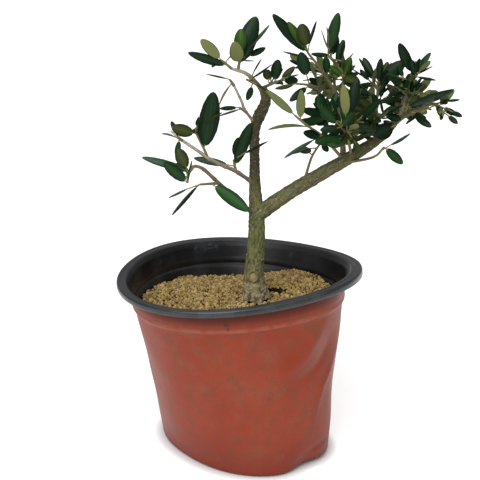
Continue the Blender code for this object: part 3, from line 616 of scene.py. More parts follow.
# Trunk and boughs: centre lines as in the solids. Each run is headings, rises and lengths.
trunk = dict(
    foot=(8.6, -4.0, 90.5),
    run=(
        (180, 85, 15), (40, 84, 15), (65, 87, 18), (130, 85, 18), (105, 86, 15), (90, 88, 20),
        (5, 75, 9), (-15, 66, 10), (180, 77, 8),
    ),
    radii=(8.4, 5.9, 5.2, 4.8, 3.6, 2.9, 2.9, 3.5, 3.1, 2.3),
    flare=(5, 0.12, 6.5),  # lobes, share by which they stand out, and the height over which they fade
    scar=(0.117, -96, 6, 2.8, 0.6),  # share of the way up, heading, rise, radius, and how far it stands out
)
boughs = {
    "bough_right": dict(
        on="trunk", at=0.40, radii=(4.7, 4.2, 4.0, 3.5, 2.8, 2.2, 1.3),
        run=(
            (-4, 36, 22), (-2, 32, 21), (-8, 32, 17), (-4, 33, 18), (6, 37, 11), (12, 45, 13), (12, 22, 18),
        ),
    ),
    "bough_left_high": dict(
        on="trunk", at=0.545, radii=(1.3, 0.95),
        run=((-164, 36, 14), (-168, 26, 10), (-164, 30, 9), (-174, 36, 9), (180, 34, 9)),
    ),
    "bough_left_low": dict(
        on="trunk", at=0.395, radii=(1.4, 0.95),
        run=((-144, 40, 18), (-156, 44, 17), (-162, 44, 12), (-166, 24, 6)),
    ),
    "bough_leader_left": dict(
        on="trunk", at=0.82, radii=(0.95, 0.75), run=((-148, 50, 12), (-138, 64, 6), (-164, 64, 10)),
    ),
    "bough_top_left": dict(
        on="trunk", at=0.975, radii=(1.5, 0.9), run=((-160, 50, 9), (-160, 40, 8), (-172, 18, 8)),
    ),
    "bough_inner": dict(
        on="bough_right", at=0.5, radii=(2.0, 1.0), run=((86, 48, 12), (122, 72, 15), (-140, 80, 16)),
    ),
    "cut_stub": dict(
        on="bough_right", at=0.84, radii=(1.5, 1.35), run=((20, 74, 14), (10, 74, 8), (2, 72, 12)),
    ),
}
bark = dict(
    voxel=0.36, smoothing=7, seed=5,
    # colour along each limb, as shares of its length and screen colours
    tones={
        "trunk": (
            (0.0, (172, 156, 122)), (0.09, (166, 150, 114)), (0.14, (122, 116, 78)), (0.3, (122, 120, 80)),
            (0.46, (106, 104, 68)), (0.54, (76, 72, 42)), (0.62, (52, 48, 26)), (0.88, (46, 43, 23)),
            (1.0, (84, 78, 52)),
        ),
        "bough_right": (
            (0.0, (104, 101, 70)), (0.45, (98, 94, 66)), (0.62, (70, 70, 38)), (0.88, (70, 69, 36)),
            (1.0, (98, 92, 62)),
        ),
        "bough_left_high": (
            (0.0, (98, 86, 66)), (0.45, (128, 116, 96)), (0.8, (172, 162, 144)), (1.0, (186, 178, 162)),
        ),
        "bough_left_low": ((0.0, (78, 68, 48)), (1.0, (104, 90, 70))),
        "bough_leader_left": ((0.0, (116, 110, 90)), (1.0, (168, 162, 146))),
        "bough_top_left": ((0.0, (98, 90, 68)), (0.5, (140, 132, 112)), (1.0, (176, 170, 152))),
        "bough_inner": ((0.0, (112, 104, 82)), (0.5, (146, 138, 120)), (1.0, (190, 186, 174))),
        "cut_stub": ((0.0, (112, 102, 80)), (1.0, (128, 118, 100))),
    },
    # the pale tone serves the lenticels, and a painted highlight on the upper sides of thin limbs
    moss=(86, 100, 38), dark=(44, 37, 24), under=(98, 66, 46), paleSpotAndHighlight=(176, 166, 142),
    pith=(176, 160, 106), pithEdge=(120, 100, 62), scarRing=(134, 124, 84), stubEnd=(70, 60, 46),
    lichen=(170, 160, 140), lenticels=320, lenticelSizes=(0.35, 0.8),
    leader=0.55,  # share of the trunk above which it is rough
    footTall=17.0, plate=3.0,  # the corky foot's height, and the size of its plates
    thin=2.2, ringGap=8.5,  # radius below which a twig has rings, and their distance
    spur=("bough_left_high", (178, 40, 9), (0.95, 0.5)),  # a bare twig end: its bough, run and radii
)


def limbPaths(steps=2):
    paths = {"trunk": (flow(walk(trunk["foot"], trunk["run"])), list(trunk["radii"]))}
    for name, bough in boughs.items():
        start = pointOn(paths[bough["on"]][0], bough["at"])
        paths[name] = (flow(walk(start, bough["run"])), list(bough["radii"]))
    if steps > 2:  # the same lines with finer steps
        paths = {name: (flow(path[::2], steps), radii) for name, (path, radii) in paths.items()}
    return paths


def curveTubes(name, lines, resolution):  # round tubes along lines of points, as one mesh in mm
    data = bpy.data.curves.new(name, "CURVE")
    data.dimensions = "3D"
    data.bevel_depth = 1.0
    data.bevel_resolution = resolution
    data.use_fill_caps = True
    for points, radii in lines:
        spline = data.splines.new("POLY")
        spline.points.add(len(points) - 1)
        for i, point in enumerate(points):
            spline.points[i].co = (*point, 1.0)
            spline.points[i].radius = along(radii, i / (len(points) - 1))
    pickOnly(newPiece(name, data))
    bpy.ops.object.convert(target="MESH")
    return bpy.context.object


def scarPlace(paths):
    at, heading, rise, radius, out = trunk["scar"]
    path, radii = paths["trunk"]
    middle, ahead = pointOn(path, at), direction(heading, rise)
    return middle, ahead, middle + ahead * (along(radii, at) + out), radius


class Limb:  # a limb's samples, for finding where a point of the bark lies on it
    def __init__(self, name, path, radii):
        self.name, self.radii, self.path = name, radii, path
        self.length = sum((b - a).length for a, b in zip(path, path[1:]))
        count = int(self.length / 0.5)
        self.samples = [pointOn(path, i / count) for i in range(count + 1)]
        self.tree = KDTree(count + 1)
        for i, point in enumerate(self.samples):
            self.tree.insert(point, i)
        self.tree.balance()


def lerpTone(stops, share):
    shares, tones = zip(*stops)
    return Vector([np.interp(share, shares, part) for part in zip(*tones)])


def limbAt(found, point):  # the limb with the nearest skin, and its share of length, middle and index there
    nearest = None
    for limb in found:
        centre, index, away = limb.tree.find(point)
        share = index / (len(limb.samples) - 1)
        over = away - along(limb.radii, share)
        if nearest is None or over < nearest[0]:
            nearest = (over, limb, share, centre, index)
    return nearest[1:]


def grainAt(point, size, shift=(0, 0, 0)):
    return noise.noise(point / size + Vector(shift))


def mixed(colour, name, share):  # a colour drawn towards one of the bark's own tones
    return colour.lerp(Vector(bark[name]), share)


def trunkBark(point, share, centre, radius, height, colour):  # a flaky leader, and a lobed and cracked foot
    flaky = held((share - 0.48) / 0.14)
    flake = grainAt(point, 1.5, (0, 0, 5))
    height += (0.12 + 0.26 * flaky) * flake
    colour = colour * (1 + 0.5 * flaky * flake)
    rise = point.z - trunk["foot"][2]
    footed = max(0.0, 1 - rise / bark["footTall"])
    lobes, stand, fade = trunk["flare"]
    turn = math.atan2(point.y - centre.y, point.x - centre.x)
    height += stand * radius * math.exp(-max(rise, 0) / fade) * math.cos(lobes * turn + 0.6)
    near, far = noise.voronoi(point / bark["plate"])[0][:2]  # corky plates, with a crack where two meet
    height += footed**0.6 * 1.1 * (min(0.55, far - near) - 0.25)
    crack = footed**0.5 * max(0.0, 1 - (far - near) / 0.16)
    colour = mixed(colour, "dark", 0.5 * crack)
    return height, mixed(colour, "lichen", footed**0.5 * 0.9 * max(0.0, grainAt(point, 1.4) + 0.15))


def scarBark(point, scar, grain, height, colour):  # the pruning scar's pith, and the ring grown around it
    middle, ahead, face, radius = scar
    out = (point - face).dot(ahead)
    flat = (point - face - ahead * out).length
    if abs(out) >= 3.0 or (point - middle).dot(ahead) <= 0 or flat >= 4.6:
        return height, colour
    if flat < radius * 0.86:
        edge = min(1.0, (flat / radius) ** 3 + 0.5 * max(0.0, grain))
        return 0.1 * math.cos(flat * 5.0) - 0.25, mixed(Vector(bark["pith"]), "pithEdge", edge)
    height += 0.75 * bell(flat - radius * 1.12, 0.75)
    return height, mixed(colour, "scarRing", 0.6 * bell(flat - radius * 1.1, 0.9))


def barkAt(point, normal, place, scar, lenticel):  # how far the bark stands out at a point, and its colour
    limb, share, centre, index = place
    radius, last = along(limb.radii, share), len(limb.samples) - 1
    tangent = (limb.samples[min(index + 1, last)] - limb.samples[max(index - 1, 0)]).normalized()
    lengthwise = tangent * (point - centre).dot(tangent) + centre
    ridge = noise.noise((point - lengthwise) / (0.13 * radius + 0.45) + tangent * share * limb.length / 3.0)
    lump, grain = grainAt(point, 3.4, (7, 0, 0)), grainAt(point, 0.95)
    up, thick, moss = normal.z, min(1.0, radius / 4.0), 0.0
    height = thick * (0.34 * abs(ridge) + 0.26 * lump) + (0.06 + 0.12 * thick) * grain
    colour = lerpTone(bark["tones"][limb.name], share)
    if limb.name == "trunk":
        height, colour = trunkBark(point, share, centre, radius, height, colour)
        moss = 0.75 * max(0.0, 1 - abs(share - 0.28) / 0.26)
    elif limb.name == "bough_right":  # mossy above, redder and rougher below
        moss = 0.55 * max(0.0, 1 - share) * (0.6 + 0.4 * up)
        colour = mixed(colour, "under", held(-up - 0.25, 0.0, 0.7))
        height += 0.14 * max(0.0, -up) * grainAt(point, 1.5)
    if radius < bark["thin"]:  # rings where old leaves stood
        height += 0.16 * bell((share * limb.length) % bark["ringGap"] - 4.2, 0.7)
        # the upper sides of thin limbs are paler: a painted highlight
        if limb.name != "bough_right":
            colour = mixed(colour, "paleSpotAndHighlight", 0.35 * max(0.0, up))
    colour = mixed(colour, "moss", held(moss * (0.75 + 1.6 * grainAt(point, 2.6, (0, 11, 0)))))
    colour = mixed(colour, "dark", held(-1.9 * ridge * thick - 0.35 * lump - 0.08, 0.0, 0.5))
    colour = mixed(colour, "lichen", held(1.8 * grainAt(point, 1.15) - 0.75, 0.0, 0.5) * (0.4 + thick))
    size, away = lenticel
    if away < size and not (limb.name == "trunk" and share > bark["leader"]):
        height += 0.28 * thick * (1 - (away / size) ** 2)
        colour = mixed(colour, "paleSpotAndHighlight", 0.75)
    elif away < 1.5 * size:
        colour = mixed(colour, "dark", 0.35)
    if limb.name == "trunk":
        height, colour = scarBark(point, scar, grain, height, colour)
    if limb.name == "cut_stub" and share > 0.985:  # its sawn end
        colour = mixed(Vector(bark["pithEdge"]), "stubEnd", 0.5 + 0.5 * grain)
    return height, colour


def lenticelSpots(found):
    dice = random.Random(bark["seed"])
    spots, sizes = KDTree(bark["lenticels"]), []
    for i in range(bark["lenticels"]):
        limb = dice.choices(found, [l.length * l.radii[0] for l in found])[0]
        share = dice.uniform(0.05, 0.95)
        turn = Vector([dice.uniform(-1, 1) for _ in range(3)]).normalized()
        spots.insert(pointOn(limb.path, share) + turn * along(limb.radii, share), i)
        thick = min(1.0, 0.35 + 0.15 * along(limb.radii, share))
        sizes.append(dice.uniform(*bark["lenticelSizes"]) * thick)
    spots.balance()
    return spots, sizes


def makeBark():  # one skin over every limb, then each of its points moved and coloured
    fine = limbPaths(6)
    scar = scarPlace(limbPaths())
    middle, _, face, radius = scar
    on, run, radii = bark["spur"]
    lines = [*fine.values(), ((middle, face), (radius, radius)), (walk(fine[on][0][-1], (run,)), radii)]
    piece = curveTubes("barkBody", lines, 6)
    piece.data.remesh_voxel_size = bark["voxel"]
    bpy.ops.object.voxel_remesh()
    smooth = piece.modifiers.new("smooth", "SMOOTH")
    smooth.factor, smooth.iterations = 0.5, bark["smoothing"]
    bpy.ops.object.modifier_apply(modifier=smooth.name)
    found = [Limb(name, path, radii) for name, (path, radii) in fine.items()]
    spots, sizes = lenticelSpots(found)
    mesh = piece.data
    points = pointsOf(piece)
    normals = np.empty(len(points) * 3)
    mesh.vertices.foreach_get("normal", normals)
    colours = np.empty((len(points), 4))
    for i, (co, normal) in enumerate(zip(points, normals.reshape(-1, 3))):
        point, normal = Vector(co), Vector(normal)
        spot, away = spots.find(point)[1:]
        height, colour = barkAt(point, normal, limbAt(found, point), scar, (sizes[spot], away))
        points[i] = point + normal * height
        colours[i] = tone(*colour)
    piece.name = mesh.name = "barkBody"
    stored = mesh.color_attributes.new("barkTone", "FLOAT_COLOR", "POINT")
    stored.data.foreach_set("color", colours.ravel())
    movePoints(piece, points * mm)
    mesh.materials.append(barkMaterial())
    smoothShade(piece, 70)
    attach(piece, "root")
    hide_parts("trunk", *boughs)
    print("bark", len(mesh.polygons), "faces")


def barkMaterial():
    made = newMaterial("oliveBark", tone(104, 100, 70), 0.85, 0.25)
    grain, patch = grainOf(made, 2600, 4, 0.7), grainOf(made, 700, 3, 0.6)
    colour = addNode(made, "Attribute", attribute_name="barkTone").outputs["Color"]
    layers = (grain, 0.42, 0.7, 0, 0.35, (150, 142, 118)), (patch, 0.5, 0.72, 0, 0.45, (54, 48, 32))
    sheen = between(made, patch, 0.3, 0.7, 0.75, 0.95)
    return finishMaterial(made, layered(made, colour, *layers), sheen, grain, 0.7, 0.0003)


makeBark()


# Foliage: the limb each mass grows from and how far up it, its seed, the run of its stem, and its shoots.
# A shoot has its place up the stem, heading, rise, length of bare twig, length of its end leaf, and its
# look: d dark, m mid, o olive, g bright, y young, s grey-green with painted sheen, P with its underside to
# the front. A + after it turns the blade to the front and a - turns it edge-on. The end leaf's width may
# follow, or 0 for the usual one, and then the pairs of side leaves.
masses = {
    "left_outer": ("bough_left_high", 1, 3, ((-130, 30, 5),), (
        (0.6, -150, 25, 2, 10, "P-"), (0.6, -100, -40, 2, 11, "d"), (0.6, 110, 40, 2, 13, "d"),
    )),
    "left_upper": ("bough_left_high", 0.66, 5, ((-175, 70, 5), (155, 60, 13)), (
        (0.3, -49, 74, 2, 32, "d+", 12), (1, -30, 35, 8, 14, "o-"), (0.85, -165, 15, 2, 13, "o+", 7.5),
        (0.55, 90, 55, 2, 14, "d"),
    )),
    "left_inner": ("bough_left_high", 0.28, 8, ((105, 45, 8),), (
        (0.45, -11, 71, 2, 26, "d+", 7.5), (1, -53, 29, 14, 20, "d-"), (0.45, 177, 11, 5, 20, "s", 4.6),
        (0.8, 80, 45, 5, 15, "d"),
    )),
    "left_low": ("bough_left_low", 1, 4, ((-150, -50, 6), (-110, -75, 5)), (
        (0.35, -172, 18, 2, 27, "s", 4.6), (0.45, -140, 60, 4, 13, "o+", 7.5),
        (1, -160, 45, 2, 17, "d+", 7), (1, -30, 75, 2, 12, "g", 3.2), (0.7, 120, -5, 5, 13, "d"),
    )),
    "left_front": ("bough_left_low", 0.65, 6, ((-140, 5, 14),), (
        (0.4, -14, -32, 3, 24, "g+", 8), (1, -173, -39, 2, 22, "d-"), (1, -160, -15, 8, 12, "s-"),
    )),
    "leader_left": ("bough_leader_left", 1, 7, ((-140, 50, 5),), (
        (1, -155, 20, 2, 13, "o-"), (0.5, -170, -55, 2, 13, "P-"),
    )),
    "leader_low": ("bough_leader_left", 0.35, 31, ((-150, 35, 6),), (
        (1, -165, 0, 2, 10, "d", 2.8), (0.7, -155, -5, 2, 13, "s-"),
    )),
    "top_left": ("bough_top_left", 1, 9, ((-160, 40, 8),), (
        (1, -170, 45, 2, 15, "P+", 6.6), (0.4, -165, 15, 2, 22, "d", 5.7), (1, 120, -15, 3, 13, "d"),
        (0.6, 85, 15, 3, 12, "m"),
    )),
    "top": ("bough_top_left", 0.85, 10, ((35, 80, 7),), (
        (0.45, 4, 72, 2, 27, "d+", 11), (1, 21, 48, 5, 21, "s-"), (1, -90, 65, 4, 14, "y+", 7),
        (0.45, -100, 50, 3, 15, "P+", 8.5), (0.9, 60, 25, 6, 14, "d"),
    )),
    "top_low": ("bough_top_left", 0.25, 12, ((-145, 25, 9),), (
        (1, -165, 10, 2, 13, "o"), (0.45, -105, -35, 4, 10, "d"), (0.8, -30, 35, 3, 15, "d-"),
        (0.7, -30, 65, 6, 9, "d-"),
    )),
    "centre": ("trunk", 1, 13, ((15, 20, 11),), (
        (0.7, -55, 80, 2, 12, "d+", 6.6), (1, -5, 45, 2, 10, "o"), (0.4, -105, 45, 5, 8, "o+", 4.6),
        (1, 45, -5, 4, 15, "m"),
    )),
    "centre_front": ("bough_inner", 0.97, 14, ((-150, 20, 18), (-155, 10, 10)), (
        (1, -170, -10, 2, 11, "o"), (0.7, -130, 65, 7, 14, "d+", 7.6), (0.7, -140, -25, 3, 13, "d"),
        (0.5, -90, -25, 7, 13, "m", 0, 1),
    )),
    "fork_twig": ("bough_right", 0.51, 32, ((-150, 45, 22), (-155, 35, 13), (-165, 40, 9)), (
        (1, -165, 42, 2, 20, "P", 4.8), (0.9, -95, 75, 2, 16, "P+", 5.4), (0.75, -169, 6, 2, 22, "P-"),
        (0.5, -135, 15, 2, 13, "d+", 5.4), (0.5, -152, -14, 7, 20, "s-"),
    )),
    "fork": ("bough_right", 0.28, 15, ((-10, 75, 16), (-20, 60, 10)), (
        (0.9, -180, -5, 3, 14, "o-"), (1, -50, 35, 2, 14, "d", 0, 1), (0.7, 115, 10, 4, 15, "d"),
    )),
    "crown_left": ("bough_inner", 1, 16, ((-165, 55, 18), (-165, 50, 11)), (
        (1, -175, 46, 2, 28, "d", 7), (1, -145, 54, 3, 20, "y+", 5), (1, 55, 75, 5, 14, "m-"),
        (0.8, 170, 20, 4, 15, "d-"), (0.5, -100, -20, 5, 10, "o+", 5), (1, -110, 50, 6, 16, "o+", 8.5),
        (0.5, 110, 0, 4, 15, "d", 0, 1), (0.3, -100, 50, 6, 14, "d"),
    )),
    "crown_top": ("bough_inner", 0.8, 17, ((-70, 65, 19), (155, 60, 8), (160, 45, 8)), (
        (1, -18, 78, 4, 21, "d+", 6.8), (1, -95, 65, 6, 13, "P-"), (0.8, 0, 75, 2, 13, "d+"),
        (0.6, -65, -10, 2, 15, "o+", 8), (0.4, -70, 20, 4, 12, "d"), (0.75, 70, 75, 5, 11, "m-"),
        (0.9, 115, 50, 4, 15, "d", 0, 1), (0.55, -70, 55, 4, 11, "y+", 5),
    )),
    "right_top": ("bough_right", 0.7, 18, ((105, 80, 17), (-65, 90, 15)), (
        (0.35, -65, 30, 2, 15, "d", 0, 2), (0.5, -130, -5, 2, 15, "o", 0, 2),
        (1, -150, 50, 6, 14, "m", 4.4), (1, -60, 80, 2, 13, "d+"), (1, -10, 40, 3, 17, "d+", 8.5),
        (0.9, 30, 50, 6, 13, "d"), (0.7, -145, 40, 5, 14, "d-"), (0.65, -40, 20, 3, 14, "d"),
        (0.85, 65, 45, 10, 13, "o", 0, 1),
    )),
    "right_high": ("bough_right", 0.87, 19, ((-5, 75, 14), (-45, 80, 10)), (
        (1, -164, 60, 3, 18, "d+", 6.4), (1, -15, 55, 2, 14, "g"), (1, -40, 30, 2, 11, "d-"),
        (0.4, -130, 40, 3, 14, "d", 0, 2), (0.2, -22, 19, 2, 27, "d"), (0.45, 40, 40, 5, 8, "d"),
        (1, -110, 0, 2, 12, "o"),
    )),
    "right_tip": ("bough_right", 1, 20, ((5, 5, 6),), (
        (1, -30, 45, 2, 11, "P+", 5), (0.45, -70, 25, 5, 9, "d"), (1, -135, -10, 18, 14, "d-"),
        (0.8, -75, -30, 2, 9, "P"),
    )),
    "right_low": ("bough_right", 0.86, 21, ((-120, -20, 10),), (
        (1, -140, -15, 3, 14, "d+", 9.5), (0.7, -125, 40, 2, 13, "d"), (0.8, -20, 25, 2, 15, "d-"),
        (0.5, -145, 0, 7, 14, "d", 0, 1), (0.9, -70, 40, 5, 13, "d"),
    )),
    "hanging": ("bough_right", 0.48, 22, ((-25, 15, 21), (-15, 45, 9)), (
        (1, -5, -40, 2, 13, "d+", 5.6), (0.9, -15, 35, 7, 13, "s-"),
    )),
    "heart_front": ("bough_right", 0.55, 23, ((-105, 45, 17), (-105, 50, 13)), (
        (1, -120, 80, 6, 17, "P+", 6), (1, 18, 76, 6, 20, "d"), (0.6, -148, 3, 2, 20, "d+"),
        (0.4, -135, 10, 7, 13, "g+", 5), (0.8, -40, 45, 5, 17, "d", 0, 2),
        (0.7, -135, 40, 7, 17, "m", 0, 2), (0.5, -55, 25, 3, 15, "o"), (0.9, 140, 60, 3, 17, "d"),
    )),
    "heart_left": ("bough_inner", 0.55, 33, ((-125, 25, 15),), (
        (1, -155, 20, 2, 15, "d+"), (0.8, -155, 70, 2, 16, "m", 0, 1), (1, -155, -10, 2, 14, "d"),
        (0.6, 89, 39, 7, 18, "d", 0, 1), (0.8, -60, 40, 2, 16, "d"),
    )),
    "heart_back": ("bough_right", 0.56, 24, ((80, 25, 29), (90, 30, 12)), (
        (1, 100, 60, 3, 17, "d", 0, 2), (0.8, 130, 20, 8, 18, "m", 0, 1), (0.9, 40, 25, 6, 18, "d", 0, 2),
        (0.5, 55, 5, 10, 17, "d", 0, 1), (0.5, 115, 0, 6, 17, "d", 0, 1),
    )),
    "right_back": ("bough_right", 0.87, 25, ((75, 5, 20), (75, 15, 9)), (
        (1, 20, 15, 3, 17, "d", 0, 2), (0.8, 105, 40, 4, 17, "d", 0, 1), (0.9, 60, -30, 6, 16, "d", 0, 1),
        (0.6, 115, -15, 10, 16, "m", 0, 1),
    )),
    "crown_back": ("bough_inner", 0.9, 26, ((90, 25, 16), (105, 15, 9)), (
        (1, 145, 25, 2, 18, "d", 0, 2), (0.8, 60, 30, 4, 18, "m", 0, 2), (0.6, 135, -15, 6, 17, "d", 0, 1),
    )),
}
growth = dict(
    stem=1.0, twig=0.65, lightRise=35.0, backFrom=14.0, leafTurn=0.75,
    front=(0.0, -0.963, 0.269), aside=0.36,  # towards the photographed side, and how far a - leaf faces it
    splay=(48.0, 12.0), pairSpace=6.0, pairTurn=(90.0, 15.0), firstPair=0.55, pairRoom=0.3,
    sideLeaf=(0.86, 0.8, 1.1), petiole=1.5, petioleRadii=(0.42, 0.34), twigTip=0.32,
    # finer shoots: how many for each mass by the first word of its name, and within what bounds
    fine=dict(right=24, crown=10, heart=14, centre=3, fork=0, top=2, left=1, leader=0, hanging=1),
    fineAt=(0.25, 1.0), fineRise=(-25, 75), fineStalk=(3, 7), fineLeaf=(8.5, 14.5), fineReach=4.0,
    fineSeed=500, lookSeed=99,
)
blade = dict(
    width=(0.38, 0.85, 1.15), curl=0.10, thick=0.55, drop=0.10, sway=0.04, buttThin=0.7,
    stations=(0.04, 0.14, 0.32, 0.54, 0.75, 0.9, 0.97), fullness=0.52, early=0.95,
    section=(  # shares of half the width and of half the thickness
        (-1, 0), (-0.55, 1.1), (-0.045, 0.4), (0.045, 0.4), (0.55, 1.1), (1, 0), (0.86, -0.35),
        (0.45, -0.8), (0, -1.7), (-0.45, -0.8), (-0.86, -0.35),
    ),
    margin=0.7, marginShade=0.78,  # share of the half width where the margin begins; its darker tone is painted shade of the curled-down edge
)
looks = {  # upper side, underside and rib
    "dark": ((14, 41, 17), (96, 104, 62), (24, 56, 26)),
    "deep": ((12, 34, 16), (88, 96, 58), (20, 44, 22)),
    "mid": ((27, 58, 25), (102, 110, 66), (40, 70, 32)),
    "olive": ((56, 64, 28), (112, 116, 70), (80, 88, 44)),
    "bright": ((34, 74, 29), (106, 116, 68), (52, 92, 42)),
    "young": ((56, 92, 28), (120, 130, 70), (96, 122, 50)),
    # grey-green, partly the leaf's own colour and partly painted sheen
    "sageSheen": ((62, 86, 66), (104, 112, 78), (88, 108, 88)),
}
regions = {  # the masses that each piece of leaves takes in
    "leavesLeft": ("left_outer", "left_upper", "left_inner", "left_low", "left_front"),
    "leavesTop": ("leader_left", "leader_low", "top_left", "top", "top_low"),
    "leavesCentre": ("centre", "centre_front", "fork_twig", "fork", "hanging"),
    "leavesCrown": ("crown_left", "crown_top", "crown_back"),
    "leavesHeart": ("heart_front", "heart_left", "heart_back", "right_back"),
    "leavesRight": ("right_top", "right_high", "right_tip", "right_low"),
}
dealt = {  # what each look code of a shoot may turn out as
    "d": ("dark", "dark", "deep", "dark", "mid"), "m": ("mid", "dark"), "o": ("olive",), "s": ("sageSheen",),
    "g": ("bright",), "y": ("young",), "P": ("olive", "mid"),
}


def halfWidth(t):  # of a blade, as a share of its widest
    return math.sin(math.pi * t ** blade["early"]) ** blade["fullness"]


def modelBlade():  # one leaf a unit long, its upper side up, drawn from a ring
    bpy.ops.mesh.primitive_circle_add(vertices=len(blade["section"]), radius=1.0)
    piece = bpy.context.object
    stations = blade["stations"]
    half = [halfWidth(t) for t in stations]
    for vertex, (across, up) in zip(piece.data.vertices, blade["section"]):
        vertex.co = (across * half[0], stations[0], up * blade["buttThin"])
    editAll(piece)
    bpy.ops.mesh.extrude_region_move(TRANSFORM_OT_translate={"value": (0, -stations[0], 0)})
    bpy.ops.mesh.merge(type="CENTER")
    bpy.ops.mesh.select_all(action="INVERT")  # back to the ring
    for before, after, a, b in zip(half, half[1:], stations, stations[1:]):
        bpy.ops.mesh.extrude_region_move(TRANSFORM_OT_translate={"value": (0, b - a, 0)})
        bpy.ops.transform.resize(value=(after / before, 1, 1), center_override=(0, b, 0))
    bpy.ops.mesh.extrude_region_move(TRANSFORM_OT_translate={"value": (0, 1 - stations[-1], 0)})
    bpy.ops.mesh.merge(type="CENTER")
    bpy.ops.mesh.select_all(action="SELECT")
    bpy.ops.mesh.normals_make_consistent(inside=False)
    bpy.ops.object.mode_set(mode="OBJECT")
    points = pointsOf(piece)
    faces, sides = [], []
    for face in piece.data.polygons:  # 0 upper side, 1 underside, 2 rib, 3 margin in painted shade
        faces.append(tuple(face.vertices))
        aside = abs(face.center.x) / halfWidth(face.center.y)
        above = face.normal.z > 0
        sides.append(3 if aside > blade["margin"] else 1 if not above else 2 if aside < 0.01 else 0)
    bpy.data.objects.remove(piece)
    return points, faces, sides


def leafSolid(leaf):  # the solids' own leaf, to test for touching
    root, face, length, stalk = leaf["root"], leaf["face"], leaf["length"], leaf["stalk"]
    heading = leaf["ahead"].normalized()
    side = heading.cross(face).normalized()
    face = side.cross(heading)
    foot, drop = root + heading * stalk, face * leaf["curl"] * length
    rings = []
    if stalk:
        rings = [[place + turn * 0.45 for turn in (-side, -face, side)] for place in (root, foot)]
    for t in (0.15, 0.5, 0.85):
        middle = foot + heading * length * t - drop * t**2
        half = 0.5 * leaf["width"] * math.sin(math.pi * t) ** 0.7
        rings.append([middle - side * half, middle - face * 0.028 * length, middle + side * half])
    start = None if stalk else root - heading * 0.15
    return lofted(rings, start, foot + heading * length - drop)


def shootParts(stem, shoot, dice):  # a shoot's twig, if it has one, and its leaves
    at, heading, rise, length, leafLength, look, ownWidth, pairs = (*shoot, 0, 0)[:8]
    root, ahead = pointOn(stem, at), direction(heading, rise)
    light = direction(-90 if root.y < growth["backFrom"] else 90, growth["lightRise"])
    front = Vector(growth["front"])
    middleWidth, least, most = blade["width"]

    def hangLeaf(foot, turned, size, stalk=0.0):
        face = light + growth["leafTurn"] * Vector([dice.uniform(-1, 1) for _ in range(3)])
        width = size * middleWidth * dice.uniform(least, most)
        across = turned.cross(front).normalized()
        edgeOn = across * (1 if across.z > 0 else -1) + growth["aside"] * front
        return dict(
            root=foot, ahead=turned, face=face, length=size, width=width, stalk=stalk, look=look[0],
            shown={"+": front, "-": edgeOn}.get(look[1:], face),
            broad=ownWidth if ownWidth and size == leafLength else width,
            curl=blade["curl"] * dice.uniform(0, 2),
        )

    if not pairs:
        return None, [hangLeaf(root, ahead, leafLength, length)]
    reach = max(length, pairs * growth["pairSpace"])
    end = root + ahead * reach
    flat = ahead.cross(light).normalized()
    over = flat.cross(ahead)
    roll = dice.uniform(0, 180)
    splay, opens = growth["splay"]
    turned, varies = growth["pairTurn"]
    share, small, large = growth["sideLeaf"]
    places = [(end, ahead, leafLength)]
    for pair in range(pairs):
        foot = root + ahead * reach * (pair + growth["firstPair"]) / (pairs + growth["pairRoom"])
        turn = math.radians(roll + turned * pair + dice.uniform(-varies, varies))
        out = math.cos(turn) * flat + math.sin(turn) * over
        for sign in (-1, 1):
            wide = math.radians(splay + dice.uniform(-opens, opens))
            toSide = math.cos(wide) * ahead + sign * math.sin(wide) * out
            places.append((foot, toSide, leafLength * share * dice.uniform(small, large)))
    return [root, end + ahead * 0.6], [hangLeaf(*place) for place in places]


def touches(solid, trees):
    tree = BVHTree.FromPolygons(*solid)
    return any(tree.overlap(other) for other in trees)


def twigSolid(twig):
    return tube(twig, [growth["twig"], 0.5 * growth["twig"]], 3)


def grow():  # every mass's stem, twigs and leaves, clear of the limbs and of each other
    paths = limbPaths()
    limbs = []
    for path, radii in paths.values():
        ahead = (path[-1] - path[-2]).normalized() * clear
        solid = tube([*path[:-1], path[-1] + ahead], [r + clear for r in radii], 12)
        limbs.append(BVHTree.FromPolygons(*solid))
    thick, thin = growth["stem"], growth["twig"]
    stems, taken = {}, {}
    for name, (on, at, _, run, _) in masses.items():
        stems[name] = flow(walk(pointOn(paths[on][0], at), run))
        taken[name] = BVHTree.FromPolygons(*tube(stems[name], [thick + clear, thin + clear], 4))
    grown = {}
    for name, (*_, seed, run, shoots) in masses.items():
        others = [tree for other, tree in taken.items() if other != name]
        stem, dice = stems[name], random.Random(seed)
        solids, twigs, leaves = [tube(stem, [thick, thin], 4)], [], []
        for shoot in shoots:
            twig, hung = shootParts(stem, shoot, dice)
            if twig:
                if touches(twigSolid(twig), others):
                    continue
                twigs.append(twig)
                solids.append(twigSolid(twig))
            for one in hung:
                if not touches(leafSolid(one), [*limbs, *others]):
                    solids.append(leafSolid(one))
                    leaves.append(one)
        taken[name] = BVHTree.FromPolygons(*joined(solids))
        grown[name] = dict(stem=stem, twigs=twigs, leaves=leaves, solids=solids, seed=seed)
    addFiner(grown, taken, limbs)
    return grown


